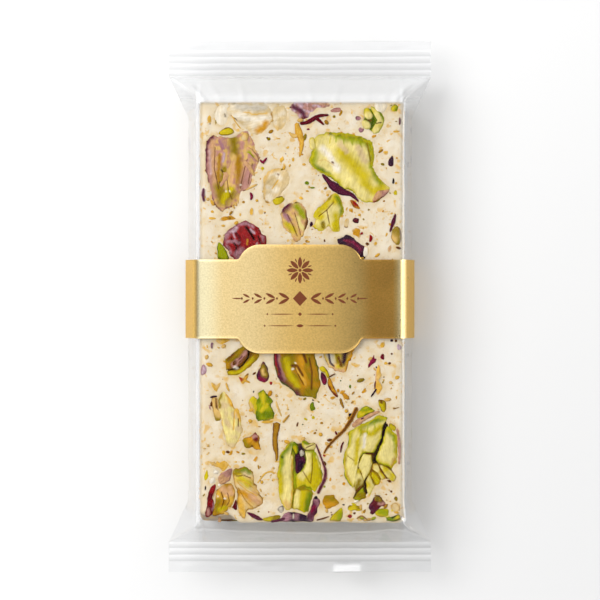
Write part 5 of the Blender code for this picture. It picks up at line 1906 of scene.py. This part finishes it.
# The sleeve: half its flat face, the height of its sides' noses, the height above which it is
# face, and its rows of points, of which the first and the last are the rims.
SLEEVE_FLAT = 23.6
SLEEVE_NOSE = 7.05
SLEEVE_FACE = 13.6
SLEEVE_ROWS = 28


def crown(x):
    """How far the sleeve's face falls from its middle to this place across it."""
    return 0.10 * (x / 23.0) ** 2


def make_sleeve():
    """The card sleeve, right round the pack, with its plaque on the face."""
    sleeve = bpy.context.scene.nougat_sleeve
    corners = pouch_section(BAND_BOX[1].x, SLEEVE_FLAT, 0.0, BAND_BOX[1].z, SLEEVE_NOSE)
    outline = spaced([Vector(point) for point in corners], 420, closed=True)
    mesh = bmesh.new()
    bmesh.ops.create_grid(mesh, x_segments=len(outline), y_segments=SLEEVE_ROWS, size=1.0)
    for vert in mesh.verts:
        column = round((vert.co.x + 1) / 2 * len(outline)) % len(outline)
        x, z = outline[column]
        face = z > SLEEVE_FACE
        reach = sleeve_reach(x) if face else sleeve.strip / 2
        if face:
            z -= crown(x)
        row = round((vert.co.y + 1) / 2 * SLEEVE_ROWS)
        share = clamp((row - 1) / (SLEEVE_ROWS / 2 - 1) - 1, -1.0, 1.0)
        rim = -0.2 if row == 1 else 0.2 if row == SLEEVE_ROWS - 1 else 0.0
        if face and row in (0, SLEEVE_ROWS):
            z += 0.05 if row == 0 else -0.06
        vert.co = (x, sleeve.middle + reach * share - rim, z)
    bmesh.ops.remove_doubles(mesh, verts=mesh.verts, dist=0.0005)
    bmesh.ops.recalc_face_normals(mesh, faces=mesh.faces)
    bmesh.ops.solidify(mesh, geom=mesh.faces, thickness=sleeve.card - 0.02)
    bmesh.ops.recalc_face_normals(mesh, faces=mesh.faces)
    return mesh


def add_lens(mesh, x, y, long, wide, turn, points=16):
    """A pointed oval, flat on the sleeve."""
    place = Matrix.Translation((x, y, 0)) @ Matrix.Rotation(math.radians(turn), 4, "Z")
    made = bmesh.ops.create_circle(mesh, cap_ends=True, segments=points, radius=1.0)["verts"]
    for vert in made:
        along = vert.co.x
        across = vert.co.y * (1 - along * along) ** 0.35
        vert.co = place @ Vector((along * long / 2, across * wide / 2, 0))


def add_lozenge(mesh, x, y, wide, high):
    """A lozenge, flat on the sleeve."""
    place = Matrix.Translation((x, y, 0)) @ Matrix.Diagonal((wide / 2, high / 2, 1, 1))
    bmesh.ops.create_circle(mesh, cap_ends=True, segments=4, radius=1.0, matrix=place)


def make_ornament():
    """A rosette over a band of lozenges and leaves, with two finer rows under it."""
    middle = bpy.context.scene.nougat_sleeve.middle
    mesh = bmesh.new()
    rosette = middle + 6.4
    for petal in range(8):
        for turn, away, long, wide in ((45 * petal, 1.75, 2.5, 0.95),
                                       (45 * petal + 22.5, 2.35, 1.0, 0.30)):
            angle = math.radians(turn)
            add_lens(mesh, math.cos(angle) * away, rosette + math.sin(angle) * away, long, wide,
                     turn)
    bmesh.ops.create_circle(
        mesh, cap_ends=True, segments=20, radius=0.36, matrix=Matrix.Translation((0, rosette, 0)))
    row = middle + 0.1
    add_lozenge(mesh, 0, row, 3.2, 3.4)
    for side in (-1, 1):
        for place, size in ((3.6, 2.5), (6.6, 2.2), (9.4, 1.9), (12.0, 1.6)):
            add_lens(mesh, side * place, row + 0.62, size * 1.1, size * 0.30, side * 28)
            add_lens(mesh, side * place, row - 0.62, size * 1.1, size * 0.30, side * -28)
            add_lozenge(mesh, side * (place + size * 0.62), row, 0.5, 0.7)
        add_lens(mesh, side * 14.0, row, 2.4, 0.30, 0)
        for line, long in ((-3.4, 5.6), (-6.0, 6.2)):
            add_lens(mesh, side * (1.2 + long / 2), middle + line, long, 0.22, 0, 20)
            add_lozenge(mesh, side * (1.7 + long), middle + line, 0.5, 0.5)
    add_lozenge(mesh, 0, middle - 3.4, 0.9, 0.9)
    add_lens(mesh, 0, middle - 6.0, 1.6, 0.7, 0)
    made = bmesh.ops.extrude_face_region(mesh, geom=mesh.faces)["geom"]
    raised = [item for item in made if isinstance(item, bmesh.types.BMVert)]
    for vert in mesh.verts:
        vert.co.z = BAND_BOX[1].z - crown(vert.co.x) + 0.002
    bmesh.ops.translate(mesh, vec=(0, 0, 0.022), verts=raised)
    bmesh.ops.recalc_face_normals(mesh, faces=mesh.faces)
    return mesh


# ---------------------------------------------------------------- the studio


def add_light(name, place, size, power):
    """A square soft light that faces the pack, and that shiny things don't mirror."""
    data = bpy.data.lights.new(name, "AREA")
    data.shape = "SQUARE"
    data.size = size
    data.energy = power
    lamp = bpy.data.objects.new(name, data)
    lamp.location = place
    lamp.rotation_euler = Vector(place).to_track_quat("Z", "Y").to_euler()
    lamp.visible_glossy = False
    bpy.context.scene.collection.objects.link(lamp)


# Brightness of what shiny things mirror, from the left, 0, to the right, 1.
MIRRORED = ((0.0, 0.40), (0.12, 0.50), (0.23, 1.46), (0.30, 0.90), (0.40, 0.96), (0.50, 0.80),
            (0.58, 0.86), (0.63, 0.80), (0.685, 0.10), (0.84, 0.03), (0.915, 3.0), (1.0, 1.6))


def make_world(fill):
    """Light from all round. What shiny things mirror is brighter towards the upper seal."""
    world = bpy.data.worlds.new("studio")
    world.use_nodes = True
    graph = Graph(world.node_tree)
    sky = graph.node("ShaderNodeTexCoord")
    across = graph.node("ShaderNodeSeparateXYZ", None, [sky])
    along = graph.node("ShaderNodeSeparateXYZ", None, [sky], output=1)
    share = graph.node("ShaderNodeMapRange", None, {"Value": across, "From Min": -1.0})
    ramp = graph.node("ShaderNodeValToRGB", None, [share])
    stops = ramp.socket.node.color_ramp.elements
    for place, _ in MIRRORED[1:-1]:
        stops.new(place)
    for stop, (_, value) in zip(stops, MIRRORED):
        stop.color = (value, value, value, 1.0)
    slope = graph.node("ShaderNodeMapRange", None, {
        "Value": along, "From Min": -1.0, "To Min": -0.5, "To Max": 2.5})
    mirrored = ramp.maths("MAXIMUM", ramp * slope, 0.08)
    glossy = graph.node("ShaderNodeLightPath", output="Is Glossy Ray")
    seen = graph.node("ShaderNodeMix", {"data_type": "RGBA"},
                      {0: glossy, 6: (1.0, 1.0, 1.0), 7: mirrored}, output=2)
    background = world.node_tree.nodes["Background"]
    graph.join(background.inputs["Color"], seen)
    graph.join(background.inputs["Strength"], fill)
    bpy.context.scene.world = world


def make_stage():
    """Floor, lights and camera."""
    scene = bpy.context.scene
    stage = scene.nougat_stage
    mesh = bmesh.new()
    bmesh.ops.create_grid(mesh, x_segments=4, y_segments=4, size=1.5)
    data = bpy.data.meshes.new("floor")
    mesh.to_mesh(data)
    mesh.free()
    data.materials.append(floor_finish().material)
    floor = bpy.data.objects.new("floor", data)
    scene.collection.objects.link(floor)
    make_world(stage.fill)
    add_light("key", (-0.62, 0.30, 0.70), 0.62, stage.key_power)
    camera = bpy.data.cameras.new("camera")
    camera.lens = stage.lens
    camera.sensor_width = 36.0
    eye = bpy.data.objects.new("camera", camera)
    away = stage.view_width / 1000 * stage.lens / camera.sensor_width
    eye.location = (0.0, stage.view_middle / 1000, 0.010 + away)
    camera.clip_start = 0.01
    camera.clip_end = 10.0
    scene.collection.objects.link(eye)
    scene.camera = eye
    scene.view_settings.view_transform = "Standard"
    scene.cycles.transparent_max_bounces = 32


# ---------------------------------------------------------------- operators


class NOUGAT_OT_stage(bpy.types.Operator):
    """Adds the floor, the lights and the camera"""

    bl_idname = "nougat.stage"
    bl_label = "Studio"

    def execute(self, context):
        make_stage()
        return {"FINISHED"}


class NOUGAT_OT_block(bpy.types.Operator):
    """Makes the nougat slab"""

    bl_idname = "nougat.block"
    bl_label = "Nougat"

    def execute(self, context):
        finish_piece("nougat_block", make_block(), nougat_finish())
        return {"FINISHED"}


class NOUGAT_OT_kernels(bpy.types.Operator):
    """Sets the pistachio kernels into the bar"""

    bl_idname = "nougat.kernels"
    bl_label = "Pistachios"

    def execute(self, context):
        finish = cut_finish("pistachio", 0.32, 3.4, 0.08, 0.42, 0.05)
        make_kind("pistachios_upper", "", UPPER_KERNELS, finish, 100)
        make_kind("pistachios_lower", "", LOWER_KERNELS, finish, 200)
        make_kind("pistachios_side", "kernels", (), finish, 300)
        return {"FINISHED"}


class NOUGAT_OT_skins(bpy.types.Operator):
    """Adds the papery skins of the nuts"""

    bl_idname = "nougat.skins"
    bl_label = "Nut skins"

    def execute(self, context):
        finish = cut_finish("nut_skin", 0.25, 1.2, 0.34, 0.55, 0.10)
        make_kind("nut_skins", "skins", SKINS, finish, 400)
        return {"FINISHED"}


class NOUGAT_OT_almonds(bpy.types.Operator):
    """Adds the almond slices and the pale lumps"""

    bl_idname = "nougat.almonds"
    bl_label = "Almonds"

    def execute(self, context):
        finish = cut_finish("almond", 0.4, 3.0, 0.10, 0.5, 0.05)
        make_kind("almond_slices", "almonds", ALMONDS, finish, 500)
        return {"FINISHED"}


class NOUGAT_OT_fruit(bpy.types.Operator):
    """Adds the dried fruit"""

    bl_idname = "nougat.fruit"
    bl_label = "Dried fruit"

    def execute(self, context):
        finish = cut_finish("dried_fruit", 0.5, 1.0, 0.35, 0.34, 0.12, coat=0.25)
        make_kind("dried_fruit", "fruit", FRUIT, finish, 600)
        return {"FINISHED"}


class NOUGAT_OT_petals(bpy.types.Operator):
    """Adds the dry petals"""

    bl_idname = "nougat.petals"
    bl_label = "Petals"

    def execute(self, context):
        finish = cut_finish("petal", 0.2, 1.6, 0.30, 0.62, 0.06)
        make_kind("petals", "petals", PETALS, finish, 700)
        return {"FINISHED"}


class NOUGAT_OT_caramel(bpy.types.Operator):
    """Adds the caramel veins and bits, and the crumbs"""

    bl_idname = "nougat.caramel"
    bl_label = "Caramel and crumbs"

    def execute(self, context):
        finish = cut_finish("caramel", 0.4, 1.2, 0.18, 0.36, 0.05, coat=0.1)
        make_kind("caramel_bits", "veins", [*VEINS, *small_bits()], finish, 800)
        finish_piece("crumbs", make_crumbs(), finish)
        return {"FINISHED"}


class NOUGAT_OT_pouch(bpy.types.Operator):
    """Makes the clear pouch with its seals and its back seam"""

    bl_idname = "nougat.pouch"
    bl_label = "Pouch"

    def execute(self, context):
        finish = film_finish()
        finish_piece("clear_film", make_film(), finish, nodes=["film_pack"])
        finish_piece("film_back_seam", make_back_seam(), finish)
        return {"FINISHED"}


class NOUGAT_OT_sleeve(bpy.types.Operator):
    """Makes the gold card sleeve"""

    bl_idname = "nougat.sleeve"
    bl_label = "Sleeve"

    def execute(self, context):
        finish_piece("gold_sleeve", make_sleeve(), sleeve_finish(),
                     nodes=["label_band"], sharp=40)
        return {"FINISHED"}


class NOUGAT_OT_ornament(bpy.types.Operator):
    """Prints the ornament on the sleeve"""

    bl_idname = "nougat.ornament"
    bl_label = "Ornament"

    def execute(self, context):
        finish_piece("sleeve_ornament", make_ornament(), print_finish(), sharp=30)
        return {"FINISHED"}


OPERATORS = (NOUGAT_OT_stage, NOUGAT_OT_block, NOUGAT_OT_kernels, NOUGAT_OT_skins,
             NOUGAT_OT_almonds, NOUGAT_OT_fruit, NOUGAT_OT_petals, NOUGAT_OT_caramel,
             NOUGAT_OT_pouch, NOUGAT_OT_sleeve, NOUGAT_OT_ornament)


class NOUGAT_PT_panel(bpy.types.Panel):
    """Lists the steps that make the bar"""

    bl_idname = "NOUGAT_PT_panel"
    bl_label = "Nougat bar"
    bl_space_type = "VIEW_3D"
    bl_region_type = "UI"
    bl_category = "Nougat"

    def draw(self, context):
        for operator in OPERATORS:
            self.layout.operator(operator.bl_idname)
        for name in SETTINGS:
            settings = getattr(context.scene, name)
            column = self.layout.column(heading=name)
            for prop in type(settings).__annotations__:
                column.prop(settings, prop)


SETTINGS = {"nougat_bar": NougatBarSettings, "nougat_pouch": PouchSettings,
            "nougat_sleeve": SleeveSettings, "nougat_palette": Palette,
            "nougat_stage": StageSettings}


def register():
    for kind in (*SETTINGS.values(), *OPERATORS, NOUGAT_PT_panel):
        bpy.utils.register_class(kind)
    for name, kind in SETTINGS.items():
        setattr(bpy.types.Scene, name, PointerProperty(type=kind))


def unregister():
    for name in SETTINGS:
        delattr(bpy.types.Scene, name)
    for kind in (NOUGAT_PT_panel, *reversed(OPERATORS), *reversed(SETTINGS.values())):
        bpy.utils.unregister_class(kind)


def main():
    register()
    for operator in OPERATORS:
        group, name = operator.bl_idname.split(".")
        getattr(getattr(bpy.ops, group), name)()


if __name__ == "__main__":
    main()
